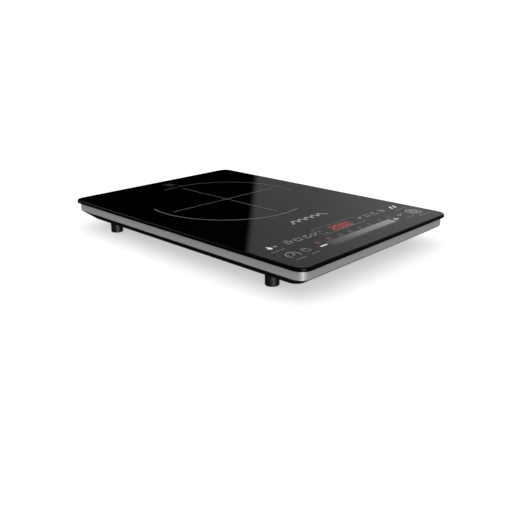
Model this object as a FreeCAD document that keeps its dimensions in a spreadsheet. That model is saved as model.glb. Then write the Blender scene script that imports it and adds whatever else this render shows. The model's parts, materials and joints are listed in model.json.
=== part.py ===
"""Slim single-zone induction cooktop: glass top, metal trim, tray, coil, power board, fan and touch panel.

Millimetres. X is the width, Y the depth with the touch panel at the front (-Y), and Z is up. The origin is
the middle of the surface that the feet stand on. The word after each `cells(` is the prefix of the sizes it
adds to the spreadsheet, and the body or primitive that follows is bound to those cells.
"""
import FreeCAD, Part
import math
import os
from types import SimpleNamespace

import Sketcher

Vector = FreeCAD.Vector
UP = Vector(0, 0, 1)

doc = FreeCAD.newDocument("InductionCooktop")
sheet = doc.addObject("Spreadsheet::Sheet", "Sizes")
cell_rows = []
nodes = []


# ---------------------------------------------------------------- spreadsheet and registry

def cells(prefix, **sizes):
    """Adds one named cell for each size and returns the names that expressions use."""
    names = {}
    for word, size in sizes.items():
        alias = f"{prefix}_{word}"
        cell_rows.append(alias)
        row = len(cell_rows)
        sheet.set(f"A{row}", alias)
        sheet.set(f"B{row}", str(size))
        sheet.setAlias(f"B{row}", alias)
        names[word] = f"Sizes.{alias}"
    sheet.recompute()
    return SimpleNamespace(**names)


def number(expression):
    """The present value of an expression."""
    result = sheet.evalExpression(str(expression))
    return float(getattr(result, "Value", result))


def node(name, item):
    """Registers a finished sub-part under the name of its file."""
    item.Label = name
    nodes.append(item)
    return item


# ---------------------------------------------------------------- primitives and booleans

def placed(item, at, turn="0"):
    """Binds an object's place, and its turn about the vertical in degrees."""
    for axis, expression in zip("xyz", at):
        item.setExpression(f"Placement.Base.{axis}", str(expression))
    item.setExpression("Placement.Rotation.Angle", str(turn))
    return item


def block(size, at, turn="0"):
    """A box standing on the point `at`, the middle of its lower face."""
    item = doc.addObject("Part::Box", "Block")
    for side, expression in zip(("Length", "Width", "Height"), size):
        item.setExpression(side, str(expression))
    length, width = size[0], size[1]
    cosine, sine = f"cos({turn})", f"sin({turn})"
    corner_x = f"({at[0]}) - ({length}) / 2 * {cosine} + ({width}) / 2 * {sine}"
    corner_y = f"({at[1]}) - ({length}) / 2 * {sine} - ({width}) / 2 * {cosine}"
    return placed(item, (corner_x, corner_y, at[2]), turn)


def rod(radius, height, at):
    """An upright cylinder standing on the point `at`."""
    item = doc.addObject("Part::Cylinder", "Rod")
    item.setExpression("Radius", str(radius))
    item.setExpression("Height", str(height))
    return placed(item, at)


def fused(pieces):
    item = doc.addObject("Part::MultiFuse", "Fused")
    item.Shapes = pieces
    item.Refine = True
    return item


def drilled(base, tools):
    """The base with one or more tools taken out of it."""
    item = doc.addObject("Part::Cut", "Drilled")
    item.Base = base
    item.Tool = tools[0] if len(tools) == 1 else fused(tools)
    return item


def tube(outer, inner, height, at):
    return drilled(rod(outer, height, at), [rod(inner, height, at)])


def grouped(pieces):
    """Identical loose pieces in one node."""
    item = doc.addObject("Part::Compound", "Group")
    item.Links = pieces
    return item


def screw(head_radius, head_height, shank_radius, shank_length, seat, head_up=True):
    """A pan-head screw. `seat` is the point under its head, on its axis."""
    x, y, level = seat
    overlap = 0.2
    if head_up:
        head = rod(head_radius, head_height, (x, y, level))
        shank = rod(shank_radius, f"{shank_length} + {overlap}", (x, y, f"{level} - ({shank_length})"))
    else:
        head = rod(head_radius, head_height, (x, y, f"{level} - ({head_height})"))
        shank = rod(shank_radius, f"{shank_length} + {overlap}", (x, y, f"{level} - {overlap}"))
    return fused([head, shank])


# ---------------------------------------------------------------- bodies and sketches

def body(name):
    return doc.addObject("PartDesign::Body", name)


def sketch_on(owner, offset, role="XY_Plane"):
    """A sketch on one of the body's origin planes, moved along that plane's normal."""
    sketch = owner.newObject("Sketcher::SketchObject", f"{owner.Name}Sketch")
    plane = next(feature for feature in owner.Origin.OriginFeatures if feature.Role == role)
    sketch.AttachmentSupport = (plane, [""])
    sketch.MapMode = "FlatFace"
    sketch.setExpression("AttachmentOffset.Base.z", str(offset))
    return sketch


def dimension(sketch, kind, where, expression, name):
    """Adds a dimension and binds it to an expression."""
    index = sketch.addConstraint(Sketcher.Constraint(kind, *where, number(expression)))
    sketch.renameConstraint(index, name)
    sketch.setExpression(f"Constraints.{name}", str(expression))


def draw_circle(sketch, x, y, radius):
    centre = Vector(number(x), number(y), 0)
    index = sketch.addGeometry(Part.Circle(centre, UP, number(radius)))
    dimension(sketch, "DistanceX", (-1, 1, index, 3), x, f"x{index}")
    dimension(sketch, "DistanceY", (-1, 1, index, 3), y, f"y{index}")
    dimension(sketch, "Radius", (index,), radius, f"radius{index}")


def draw_polygon(sketch, points):
    """A closed outline whose corners are all dimensioned from the sketch's origin."""
    corners = [Vector(number(x), number(y), 0) for x, y in points]
    first = sketch.GeometryCount
    count = len(corners)
    for index in range(count):
        sketch.addGeometry(Part.LineSegment(corners[index], corners[(index + 1) % count]))
    for index in range(count):
        line, following = first + index, first + (index + 1) % count
        sketch.addConstraint(Sketcher.Constraint("Coincident", line, 2, following, 1))
        x, y = points[index]
        dimension(sketch, "DistanceX", (-1, 1, line, 1), x, f"x{line}")
        dimension(sketch, "DistanceY", (-1, 1, line, 1), y, f"y{line}")


def draw_rectangle(sketch, length, width, x="0", y="0"):
    left, right = f"({x}) - ({length}) / 2", f"({x}) + ({length}) / 2"
    low, high = f"({y}) - ({width}) / 2", f"({y}) + ({width}) / 2"
    draw_polygon(sketch, [(left, low), (right, low), (right, high), (left, high)])


def draw_rounded_rectangle(sketch, half_x, half_y, radius):
    """A rectangle about the sketch's origin with four equal round corners."""
    reach_x = number(half_x) - number(radius)
    reach_y = number(half_y) - number(radius)
    arcs = []
    for quarter, (x, y) in enumerate(((1, 1), (-1, 1), (-1, -1), (1, -1))):
        circle = Part.Circle(Vector(x * reach_x, y * reach_y, 0), UP, number(radius))
        start = math.radians(90 * quarter)
        arcs.append(sketch.addGeometry(Part.ArcOfCircle(circle, start, start + math.pi / 2)))
    for quarter, arc in enumerate(arcs):
        following = arcs[(quarter + 1) % 4]
        ends = sketch.Geometry[arc].EndPoint, sketch.Geometry[following].StartPoint
        line = sketch.addGeometry(Part.LineSegment(*ends))
        sketch.addConstraint(Sketcher.Constraint("Tangent", arc, 2, line, 1))
        sketch.addConstraint(Sketcher.Constraint("Tangent", line, 2, following, 1))
        sketch.addConstraint(Sketcher.Constraint("Vertical" if quarter % 2 else "Horizontal", line))
    for arc in arcs[1:]:
        sketch.addConstraint(Sketcher.Constraint("Equal", arcs[0], arc))
    sketch.addConstraint(Sketcher.Constraint("Symmetric", arcs[0], 3, arcs[2], 3, -1, 1))
    dimension(sketch, "DistanceX", (-1, 1, arcs[0], 3), f"{half_x} - ({radius})", "reach_x")
    dimension(sketch, "DistanceY", (-1, 1, arcs[0], 3), f"{half_y} - ({radius})", "reach_y")
    dimension(sketch, "Radius", (arcs[0],), radius, "radius")


def pad(owner, sketch, length, down=False):
    feature = owner.newObject("PartDesign::Pad", f"{owner.Name}Pad")
    feature.Profile = sketch
    feature.Reversed = down
    feature.setExpression("Length", str(length))
    return feature


def pocket(owner, sketch, length, upward=True):
    """Cuts from the sketch towards +Z of its plane, or towards -Z, and checks that it does cut."""
    doc.recompute()
    before = owner.Tip.Shape.Volume
    feature = owner.newObject("PartDesign::Pocket", f"{owner.Name}Pocket")
    feature.Profile = sketch
    feature.Reversed = upward
    feature.setExpression("Length", str(length))
    doc.recompute()
    if feature.Shape.Volume > before - 0.01:
        raise RuntimeError(f"{feature.Name} cuts nothing")
    return feature


def loft(owner, lower, upper, kind="Additive"):
    feature = owner.newObject(f"PartDesign::{kind}Loft", f"{owner.Name}Loft")
    feature.Profile = lower
    feature.Sections = [upper]
    feature.Ruled = True
    return feature


def repeated(owner, features, count):
    """A polar pattern about the sketch's vertical axis through the body's own Z axis."""
    pattern = owner.newObject("PartDesign::PolarPattern", f"{owner.Name}Pattern")
    pattern.Originals = features
    axis = next(feature for feature in owner.Origin.OriginFeatures if feature.Role == "Z_Axis")
    pattern.Axis = (axis, [""])
    pattern.Angle = 360
    pattern.Occurrences = int(count)
    owner.Tip = pattern
    return pattern


def edges_where(shape, test):
    """Names of the edges whose bounding box passes a test."""
    return [f"Edge{i}" for i, edge in enumerate(shape.Edges, start=1) if test(edge.BoundBox)]


def rounded_edges(owner, radius, test, kind="Fillet"):
    doc.recompute()
    base = owner.Tip
    feature = owner.newObject(f"PartDesign::{kind}", f"{owner.Name}{kind}")
    feature.Base = (base, edges_where(base.Shape, test))
    feature.setExpression("Radius" if kind == "Fillet" else "Size", str(radius))
    return feature


# ---------------------------------------------------------------- wires

def bent_path(points):
    """Straight runs joined by arcs that use 0.45 of the shorter run beside each corner."""
    edges = []
    start = points[0]
    for before, corner, after in zip(points, points[1:], points[2:]):
        coming, going = corner - before, after - corner
        reach = 0.45 * min(coming.Length, going.Length)
        turn = coming.getAngle(going)
        radius = reach / math.tan(turn / 2)
        coming.normalize()
        going.normalize()
        inward = (going - coming).normalize()
        entry = corner - coming * reach
        leave = corner + going * reach
        middle = corner + inward * (radius / math.cos(turn / 2) - radius)
        edges.append(Part.makeLine(start, entry))
        edges.append(Part.Arc(entry, middle, leave).toShape())
        start = leave
    edges.append(Part.makeLine(start, points[-1]))
    return Part.Wire(edges)


def swept(path, section):
    """A closed solid of the section along the path, checked against section area times length."""
    solid = path.makePipeShell([section], True, False)
    expected = Part.Face(section).Area * path.Length
    if abs(solid.Volume - expected) > 0.03 * expected:
        raise RuntimeError("a swept wire has the wrong volume")
    return solid


def wire_shape(points, radius):
    """A round wire through the given points."""
    route = [Vector(*(number(value) for value in point)) for point in points]
    path = bent_path(route)
    circle = Part.makeCircle(number(radius), route[0], (route[1] - route[0]))
    return swept(path, Part.Wire([circle]))


def wire_node(name, routes, radius):
    feature = doc.addObject("Part::Feature", "Wire")
    shapes = [wire_shape(route, radius) for route in routes]
    feature.Shape = shapes[0] if len(shapes) == 1 else Part.makeCompound(shapes)
    return node(name, feature)


# ---------------------------------------------------------------- driving sizes

whole = cells("whole", width=265, depth=375, height=35.7)
glass = cells("glass", thickness=4, corner=12.5, top_round=1.1, lower_round=0.6)
trim = cells("trim", inset=3, height=9.4, corner=11.5, wall=1.5, ledge=13, ledge_thickness=1.4,
             window_corner=14, post_radius=3.5, post_gap=0.3, end_tab=5, end_stem=8, side_tab=6)
glue = cells("glue", thickness=0.8, width=9, gap=0.6)
tray = cells("tray", foot_level=11.8, floor=2.2, lip_inset=0.8, lip_height=1, side_inset=15, end_inset=18.6,
             floor_corner=10.3, wall=2.4, tongue_gap=0.3, tongue_wall=1.6, tongue_height=5, inner_foot=1,
             post_root=0.5, blind_end=0.9, hole_skin=0.3)
fixing = cells("fixing", x=85, y=164, side_x=112, side_y=8, boss_radius=4, boss_height=3.5, hole_radius=1.7,
               head_radius=2.8, recess_radius=3.1, head_recess=1.6, head_height=1.5, shank_radius=1.5,
               shank_length=11)
foot = cells("foot", x=109.2, y=130.3, radius=7.25, edge_round=0.8, recess_radius=3.8, recess_depth=3.7,
             hole_radius=1.8, boss_radius=4, boss_height=4.7, screw_head=2.9, screw_head_height=2,
             screw_length=12.5)
coil = cells("coil", y=47, inner=24, pitch=3.4, turns=18, wire=1.4, level=25.7, former=2, lead=1.3)
fan = cells("fan", x=74, y=-76, plate=80, plate_level=19, plate_thickness=4, duct_radius=39.5, bore=37.5,
            level=14.3, height=14.7, ear=35.75, ear_hole=1.8, post_radius=3.2,
            screw_length=8, lead=0.9)

half_width = f"{whole.width} / 2"
half_depth = f"{whole.depth} / 2"
glass_under = f"({whole.height} - {glass.thickness})"
trim_under = f"({glass_under} - {trim.height})"
trim_half_x = f"({half_width} - {trim.inset})"
trim_half_y = f"({half_depth} - {trim.inset})"
trim_inner_x = f"({trim_half_x} - {trim.wall})"
trim_inner_y = f"({trim_half_y} - {trim.wall})"
ledge_top = f"({glass_under} - {glue.thickness})"
ledge_under = f"({ledge_top} - {trim.ledge_thickness})"
floor_top = f"({tray.foot_level} + {tray.floor})"
foot_boss_top = f"({floor_top} + {foot.boss_height})"
fixing_boss_top = f"({floor_top} + {fixing.boss_height})"

SIDES = (-1, 1)
CORNERS = [(x, y) for x in SIDES for y in SIDES]


def signed(sign, expression):
    return f"{sign} * {expression}"


fixing_points = [(signed(x, fixing.x), signed(y, fixing.y)) for x, y in CORNERS]
side_fixing_points = [(signed(x, fixing.side_x), fixing.side_y) for x in SIDES]
foot_points = [(signed(x, foot.x), signed(y, foot.y)) for x, y in CORNERS]
fan_ears = [(f"({fan.x} + {x} * {fan.ear})", f"({fan.y} + {y} * {fan.ear})") for x, y in CORNERS]
bush_points = []


m3 = cells("m3", head_radius=2.7, head_height=1.7, shank_radius=1.3)


def small_screw(length, seat):
    return screw(m3.head_radius, m3.head_height, m3.shank_radius, length, seat)


# ---------------------------------------------------------------- glass plate and adhesive

def make_glass():
    plate = body("GlassPlate")
    outline = sketch_on(plate, glass_under)
    draw_rounded_rectangle(outline, half_width, half_depth, glass.corner)
    pad(plate, outline, glass.thickness)
    top, under = number(whole.height), number(glass_under)
    rounded_edges(plate, glass.top_round, lambda box: box.ZMin > top - 0.01)
    rounded_edges(plate, glass.lower_round, lambda box: box.ZMax < under + 0.01)
    node("glass_plate", plate)


def make_adhesive():
    bead = body("GlassAdhesive")
    outline = sketch_on(bead, ledge_top)
    outer_x, outer_y = f"({trim_inner_x} - {glue.gap})", f"({trim_inner_y} - {glue.gap})"
    draw_rounded_rectangle(outline, outer_x, outer_y, trim.corner)
    inner = sketch_on(bead, ledge_top)
    draw_rounded_rectangle(inner, f"{outer_x} - {glue.width}", f"{outer_y} - {glue.width}", trim.corner)
    pad(bead, outline, glue.thickness)
    pocket(bead, inner, glue.thickness)
    node("glass_adhesive", bead)


# ---------------------------------------------------------------- metal trim frame

def make_trim():
    frame = body("TrimFrame")
    outline = sketch_on(frame, trim_under)
    draw_rounded_rectangle(outline, trim_half_x, trim_half_y, trim.corner)
    pad(frame, outline, trim.height)
    lower = sketch_on(frame, trim_under)
    inner_corner = f"({trim.corner} - {trim.wall})"
    draw_rounded_rectangle(lower, trim_inner_x, trim_inner_y, inner_corner)
    pocket(frame, lower, f"{ledge_under} - {trim_under}")
    upper = sketch_on(frame, ledge_top)
    draw_rounded_rectangle(upper, trim_inner_x, trim_inner_y, inner_corner)
    pocket(frame, upper, glue.thickness)
    window = sketch_on(frame, ledge_under)
    window_half = f"{trim_inner_x} - {trim.ledge}", f"{trim_inner_y} - {trim.ledge}"
    draw_rounded_rectangle(window, *window_half, trim.window_corner)
    pocket(frame, window, trim.ledge_thickness)
    tabs = sketch_on(frame, ledge_under)
    for x, y in fixing_points:
        draw_circle(tabs, x, y, trim.end_tab)
    for x, y in side_fixing_points:
        draw_circle(tabs, x, y, trim.side_tab)
    pad(frame, tabs, trim.ledge_thickness)
    stems = sketch_on(frame, ledge_under)
    for (x, y), (_, side_y) in zip(fixing_points, CORNERS):
        stem_y = f"{y} + {side_y} * {trim.end_stem} / 2"
        draw_rectangle(stems, f"2 * {trim.end_tab}", trim.end_stem, x, stem_y)
    pad(frame, stems, trim.ledge_thickness)
    posts = sketch_on(frame, ledge_under)
    holes = sketch_on(frame, f"{fixing_boss_top} + {trim.post_gap}")
    for x, y in fixing_points + side_fixing_points:
        draw_circle(posts, x, y, trim.post_radius)
        draw_circle(holes, x, y, fixing.hole_radius)
    post_length = f"{ledge_under} - {fixing_boss_top} - {trim.post_gap}"
    pad(frame, posts, post_length, down=True)
    pocket(frame, holes, post_length)
    node("trim_frame", frame)


# ---------------------------------------------------------------- plastic bottom housing

vents = cells("vent", slot_width=2.6, slot_pitch=6, grille_radius=34, outlet_width=3, outlet_length=42,
              outlet_pitch=8, outlet_x=40, outlet_y=120, outlet_count=9)
gland = cells("gland", x=-60, centre=5.2, seat_width=26, seat_depth=13, face_y=184, hole_width=13,
              hole_height=8.6, flange_width=17, flange_height=10.2, flange=2.2, bore=3.3, top_gap=0.1)
bush = cells("bush", ring=96, outer=5, bore=1.7, boss_top=18.7, lug=6, screw_length=9.5)
board = cells("board", x=-37, y=-110, length=130, width=96, level=16, thickness=1.6, post_inset=5,
              post_radius=3, hole_radius=1.5, screw_length=4)
board_top = f"({board.level} + {board.thickness})"
former_under = f"({coil.level} - {coil.former})"
gland_level = f"({tray.foot_level} + {gland.centre})"
board_posts = [(f"({board.x} + {x} * ({board.length} / 2 - {board.post_inset}))",
                f"({board.y} + {y} * ({board.width} / 2 - {board.post_inset}))") for x, y in CORNERS]
for quarter in range(4):
    turn = 45 + 90 * quarter
    bush_points.append((f"({bush.ring} * cos({turn}))", f"({coil.y} + {bush.ring} * sin({turn}))"))


def tray_hull(housing):
    """The sloped shell: an outer loft with a lip and a tongue, hollowed by an inner loft."""
    lip_level = f"({trim_under} - {tray.lip_height})"
    lip_x, lip_y = f"({trim_half_x} - {tray.lip_inset})", f"({trim_half_y} - {tray.lip_inset})"
    lip_corner = f"({trim.corner} - {tray.lip_inset})"
    floor_x, floor_y = f"({half_width} - {tray.side_inset})", f"({half_depth} - {tray.end_inset})"
    low = sketch_on(housing, tray.foot_level)
    draw_rounded_rectangle(low, floor_x, floor_y, tray.floor_corner)
    lip = sketch_on(housing, lip_level)
    draw_rounded_rectangle(lip, lip_x, lip_y, lip_corner)
    loft(housing, low, lip)
    rim = sketch_on(housing, lip_level)
    draw_rounded_rectangle(rim, lip_x, lip_y, lip_corner)
    pad(housing, rim, tray.lip_height)
    tongue_x = f"({trim_inner_x} - {tray.tongue_gap})"
    tongue_y = f"({trim_inner_y} - {tray.tongue_gap})"
    tongue_corner = f"({trim.corner} - {trim.wall} - {tray.tongue_gap})"
    tongue = sketch_on(housing, trim_under)
    draw_rounded_rectangle(tongue, tongue_x, tongue_y, tongue_corner)
    pad(housing, tongue, tray.tongue_height)
    inner_x, inner_y = f"({tongue_x} - {tray.tongue_wall})", f"({tongue_y} - {tray.tongue_wall})"
    inner_corner = f"({tongue_corner} - {tray.tongue_wall})"
    inner_low = sketch_on(housing, floor_top)
    draw_rounded_rectangle(inner_low, f"{floor_x} - {tray.inner_foot}", f"{floor_y} - {tray.inner_foot}",
                           f"{tray.floor_corner} - {tray.inner_foot}")
    inner_high = sketch_on(housing, trim_under)
    draw_rounded_rectangle(inner_high, inner_x, inner_y, inner_corner)
    loft(housing, inner_low, inner_high, "Subtractive")
    above = sketch_on(housing, trim_under)
    draw_rounded_rectangle(above, inner_x, inner_y, inner_corner)
    pocket(housing, above, f"{tray.tongue_height} + 1")


def tray_posts(housing, points, radius, top):
    """Posts rooted in the floor that reach up to a level."""
    posts = sketch_on(housing, f"{floor_top} - {tray.post_root}")
    for x, y in points:
        draw_circle(posts, x, y, radius)
    pad(housing, posts, f"{top} - {floor_top} + {tray.post_root}")


def tray_holes(housing, points, radius, low, high):
    """Round holes between two levels."""
    holes = sketch_on(housing, low)
    for x, y in points:
        draw_circle(holes, x, y, radius)
    pocket(housing, holes, f"{high} - ({low})")


def tray_openings(housing):
    """Intake slots in a circle under the fan, and a row of outlet slots at the rear."""
    slots = sketch_on(housing, tray.foot_level)
    count = int(number(vents.grille_radius) // number(vents.slot_pitch))
    for step in range(-count, count + 1):
        shift = f"{step} * {vents.slot_pitch}"
        chord = f"2 * sqrt({vents.grille_radius} ^ 2 - ({shift}) ^ 2)"
        draw_rectangle(slots, vents.slot_width, chord, f"({fan.x} + {shift})", fan.y)
    pocket(housing, slots, tray.floor)
    outlets = sketch_on(housing, tray.foot_level)
    for index in range(int(number(vents.outlet_count))):
        shift = f"({index} - ({vents.outlet_count} - 1) / 2) * {vents.outlet_pitch}"
        place = f"{vents.outlet_x} + {shift}"
        draw_rectangle(outlets, vents.outlet_width, vents.outlet_length, place, vents.outlet_y)
    pocket(housing, outlets, tray.floor)


def gland_seat(housing):
    """A block with an upright rear face that carries the cord grommet."""
    seat = sketch_on(housing, tray.foot_level)
    seat_y = f"{gland.face_y} - {gland.seat_depth} / 2"
    draw_rectangle(seat, gland.seat_width, gland.seat_depth, gland.x, seat_y)
    pad(housing, seat, f"{trim_under} - {tray.foot_level} - {gland.top_gap}")
    window = sketch_on(housing, f"-({gland.face_y})", "XZ_Plane")
    draw_rectangle(window, gland.hole_width, gland.hole_height, gland.x, gland_level)
    pocket(housing, window, f"{gland.seat_depth} + {tray.wall}")


def make_housing():
    housing = body("BottomHousing")
    tray_hull(housing)
    all_fixings = fixing_points + side_fixing_points
    tray_posts(housing, all_fixings, fixing.boss_radius, fixing_boss_top)
    tray_posts(housing, foot_points, foot.boss_radius, foot_boss_top)
    tray_posts(housing, bush_points, bush.outer, bush.boss_top)
    tray_posts(housing, board_posts, board.post_radius, board.level)
    tray_posts(housing, fan_ears, fan.post_radius, fan.plate_level)
    tray_holes(housing, all_fixings, fixing.hole_radius, tray.foot_level, fixing_boss_top)
    head_seat = f"{tray.foot_level} + {fixing.head_recess}"
    tray_holes(housing, all_fixings, fixing.recess_radius, tray.foot_level, head_seat)
    blind_top = f"{foot_boss_top} - {tray.blind_end}"
    tray_holes(housing, foot_points, fixing.hole_radius, tray.foot_level, blind_top)
    tray_holes(housing, bush_points, fixing.hole_radius, f"{floor_top} + {tray.blind_end}", bush.boss_top)
    tray_holes(housing, board_posts, board.hole_radius, f"{tray.foot_level} + {tray.blind_end}", board.level)
    tray_holes(housing, fan_ears, board.hole_radius, f"{floor_top} + {tray.hole_skin}", fan.plate_level)
    tray_openings(housing)
    gland_seat(housing)
    node("bottom_housing", housing)


def make_feet():
    """Four round feet, each held by a screw in a recess."""
    for (x, y), (side_x, side_y) in zip(foot_points, CORNERS):
        name = f"foot_{'rear' if side_y > 0 else 'front'}_{'right' if side_x > 0 else 'left'}"
        pillar = body(name.title().replace("_", ""))
        outline = sketch_on(pillar, "0")
        draw_circle(outline, "0", "0", foot.radius)
        pad(pillar, outline, tray.foot_level)
        recess = sketch_on(pillar, "0")
        draw_circle(recess, "0", "0", foot.recess_radius)
        pocket(pillar, recess, foot.recess_depth)
        hole = sketch_on(pillar, "0")
        draw_circle(hole, "0", "0", foot.hole_radius)
        pocket(pillar, hole, tray.foot_level)
        reach = number(foot.radius) - 0.01
        rounded_edges(pillar, foot.edge_round, lambda box: box.ZMax < 0.01 and box.XMax > reach)
        placed(pillar, (x, y, "0"))
        node(name, pillar)


def make_housing_fasteners():
    foot_screws = [screw(foot.screw_head, foot.screw_head_height, fixing.shank_radius, foot.screw_length,
                         (x, y, foot.recess_depth), head_up=False) for x, y in foot_points]
    node("foot_screws", grouped(foot_screws))
    seat = f"{tray.foot_level} + {fixing.head_recess}"
    housing_screws = [screw(fixing.head_radius, fixing.head_height, fixing.shank_radius, fixing.shank_length,
                            (x, y, seat), head_up=False) for x, y in fixing_points + side_fixing_points]
    node("housing_screws", grouped(housing_screws))


def make_label():
    label = cells("label", x=-30, y=70, length=56, width=34, thickness=0.2)
    plate = block((label.length, label.width, label.thickness),
                  (label.x, label.y, f"{tray.foot_level} - {label.thickness}"))
    node("rating_label", plate)


def make_grommet():
    """The rubber inlet that a mains cord passes through, held in the housing's rear seat."""
    bush_body = body("CordGrommet")
    flange = sketch_on(bush_body, f"-({gland.face_y})", "XZ_Plane")
    draw_rectangle(flange, gland.flange_width, gland.flange_height, gland.x, gland_level)
    pad(bush_body, flange, gland.flange, down=True)
    neck = sketch_on(bush_body, f"-({gland.face_y})", "XZ_Plane")
    draw_rectangle(neck, gland.hole_width, gland.hole_height, gland.x, gland_level)
    pad(bush_body, neck, gland.seat_depth)
    bore = sketch_on(bush_body, f"-({gland.face_y} + {gland.flange})", "XZ_Plane")
    draw_circle(bore, gland.x, gland_level, gland.bore)
    pocket(bush_body, bore, f"{gland.seat_depth} + {gland.flange}")
    node("cord_grommet", bush_body)


# ---------------------------------------------------------------- coil

def coil_points(ring, first_turn, count):
    step = 360 / count
    turns = [first_turn + step * index for index in range(count)]
    return [(f"({ring} * cos({turn}))", f"({coil.y} + {ring} * sin({turn}))", turn) for turn in turns]


def make_former():
    """A plastic disc with windows, a rim, screw lugs and openings for the sensor and the leads."""
    former = cells("former", radius=92, rim=2, rim_height=3.6, centre_hole=8, windows=8, window_radius=9,
                   window_ring=62, lead_hole=4, lead_x=-8, lead_offset=19, notch=26, notch_depth=12)
    carrier = body("CoilFormer")
    disc = sketch_on(carrier, former_under)
    draw_circle(disc, "0", coil.y, former.radius)
    pad(carrier, disc, coil.former)
    lugs = sketch_on(carrier, former_under)
    for x, y in bush_points:
        draw_circle(lugs, x, y, bush.lug)
    pad(carrier, lugs, coil.former)
    rim = sketch_on(carrier, coil.level)
    draw_circle(rim, "0", coil.y, former.radius)
    pad(carrier, rim, former.rim_height)
    inside = sketch_on(carrier, coil.level)
    draw_circle(inside, "0", coil.y, f"{former.radius} - {former.rim}")
    pocket(carrier, inside, former.rim_height)
    holes = sketch_on(carrier, former_under)
    draw_circle(holes, "0", coil.y, former.centre_hole)
    draw_circle(holes, former.lead_x, f"{coil.y} - {former.lead_offset}", former.lead_hole)
    for x, y, _ in coil_points(former.window_ring, 0, int(number(former.windows))):
        draw_circle(holes, x, y, former.window_radius)
    pocket(carrier, holes, coil.former)
    screw_holes = sketch_on(carrier, former_under)
    for x, y in bush_points:
        draw_circle(screw_holes, x, y, bush.bore)
    pocket(carrier, screw_holes, coil.former)
    notch = sketch_on(carrier, coil.level)
    notch_y = f"{coil.y} - {former.radius}"
    draw_rectangle(notch, former.notch, former.notch_depth, f"{former.notch} / 2", notch_y)
    pocket(carrier, notch, former.rim_height)
    node("coil_former", carrier)


def spiral_path():
    """A flat spiral of half circles about two centres, starting and ending towards the front."""
    inner, pitch, turns = number(coil.inner), number(coil.pitch), int(number(coil.turns))
    centre_y = number(coil.y)
    level = number(coil.level) + number(coil.wire)
    edges = []
    start = Vector(0, centre_y - inner, level)
    for half in range(2 * turns):
        radius = inner + pitch / 2 * half
        shift = 0 if half % 2 == 0 else -pitch / 2
        heading = 1 if half % 2 == 0 else -1
        centre = Vector(0, centre_y + shift, level)
        side = centre + Vector(heading * radius, 0, 0)
        end = centre + Vector(0, heading * radius, 0)
        edges.append(Part.Arc(start, side, end).toShape())
        start = end
    return Part.Wire(edges), start


def make_coil():
    path, outer_end = spiral_path()
    inner_end = path.Vertexes[0].Point
    circle = Part.makeCircle(number(coil.wire), inner_end, Vector(1, 0, 0))
    winding = doc.addObject("Part::Feature", "Winding")
    winding.Shape = swept(path, Part.Wire([circle]))
    node("induction_coil", winding)
    bars = cells("ferrite", count=8, first_turn=22.5, length=50, width=12, thickness=4, ring=55)
    places = coil_points(bars.ring, number(bars.first_turn), int(number(bars.count)))
    bar_level = f"{former_under} - {bars.thickness}"
    bar_size = bars.length, bars.width, bars.thickness
    node("ferrite_bars", grouped([block(bar_size, (x, y, bar_level), turn) for x, y, turn in places]))
    return outer_end


def make_coil_cover():
    cover = cells("cover", radius=89.5, hole=9, mica=0.6)
    mica_level = f"({coil.level} + 2 * {coil.wire})"
    felt_level = f"({mica_level} + {cover.mica})"
    node("mica_sheet", tube(cover.radius, cover.hole, cover.mica, ("0", coil.y, mica_level)))
    felt_height = f"{glass_under} - {felt_level}"
    node("insulation_felt", tube(cover.radius, cover.hole, felt_height, ("0", coil.y, felt_level)))


def make_coil_mounts():
    bush_height = f"{former_under} - {bush.boss_top}"
    bushes = [tube(bush.outer, bush.bore, bush_height, (x, y, bush.boss_top)) for x, y in bush_points]
    node("coil_bushes", grouped(bushes))
    screws = [small_screw(bush.screw_length, (x, y, coil.level)) for x, y in bush_points]
    node("coil_screws", grouped(screws))


def make_sensor():
    sensor = cells("sensor", body=7.5, flange=11, flange_height=1.2, low=20.7, top=28.1, cap=5, lead=0.8)
    stem = rod(sensor.body, f"{sensor.top} - {sensor.low}", ("0", coil.y, sensor.low))
    flange = rod(sensor.flange, sensor.flange_height, ("0", coil.y, coil.level))
    node("sensor_holder", fused([stem, flange]))
    cap = rod(sensor.cap, f"{glass_under} - {sensor.top}", ("0", coil.y, sensor.top))
    node("temperature_sensor", cap)
    lead = [(4, coil.y, sensor.low), (4, coil.y, 18.1), (4, f"{coil.y} - 4", 15.7), (4, 8, 15.4),
            (4.4, -20, 15.6), (4, -41, 15.7), (3.4, -50, 17.7), (3, -57, 20.2), (3, -62.5, 20.2)]
    wire_node("sensor_lead", [lead], sensor.lead)


# ---------------------------------------------------------------- power board

def board_box(size, at):
    return block(size, (at[0], at[1], board_top))


def make_board():
    main = body("MainBoard")
    outline = sketch_on(main, board.level)
    draw_rectangle(outline, board.length, board.width, board.x, board.y)
    pad(main, outline, board.thickness)
    holes = sketch_on(main, board.level)
    for x, y in board_posts:
        draw_circle(holes, x, y, board.hole_radius)
    pocket(main, holes, board.thickness)
    node("main_board", main)
    screws = [small_screw(board.screw_length, (x, y, board_top)) for x, y in board_posts]
    node("board_screws", grouped(screws))


sink = cells("sink", x=-14, y=-95.5, length=62, depth=42, leg=3, gap=5.6, base=2, fin=1.4, fin_height=4.6,
             fins=11, root=0.2)
sink_under = f"({board_top} + {sink.gap})"


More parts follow.
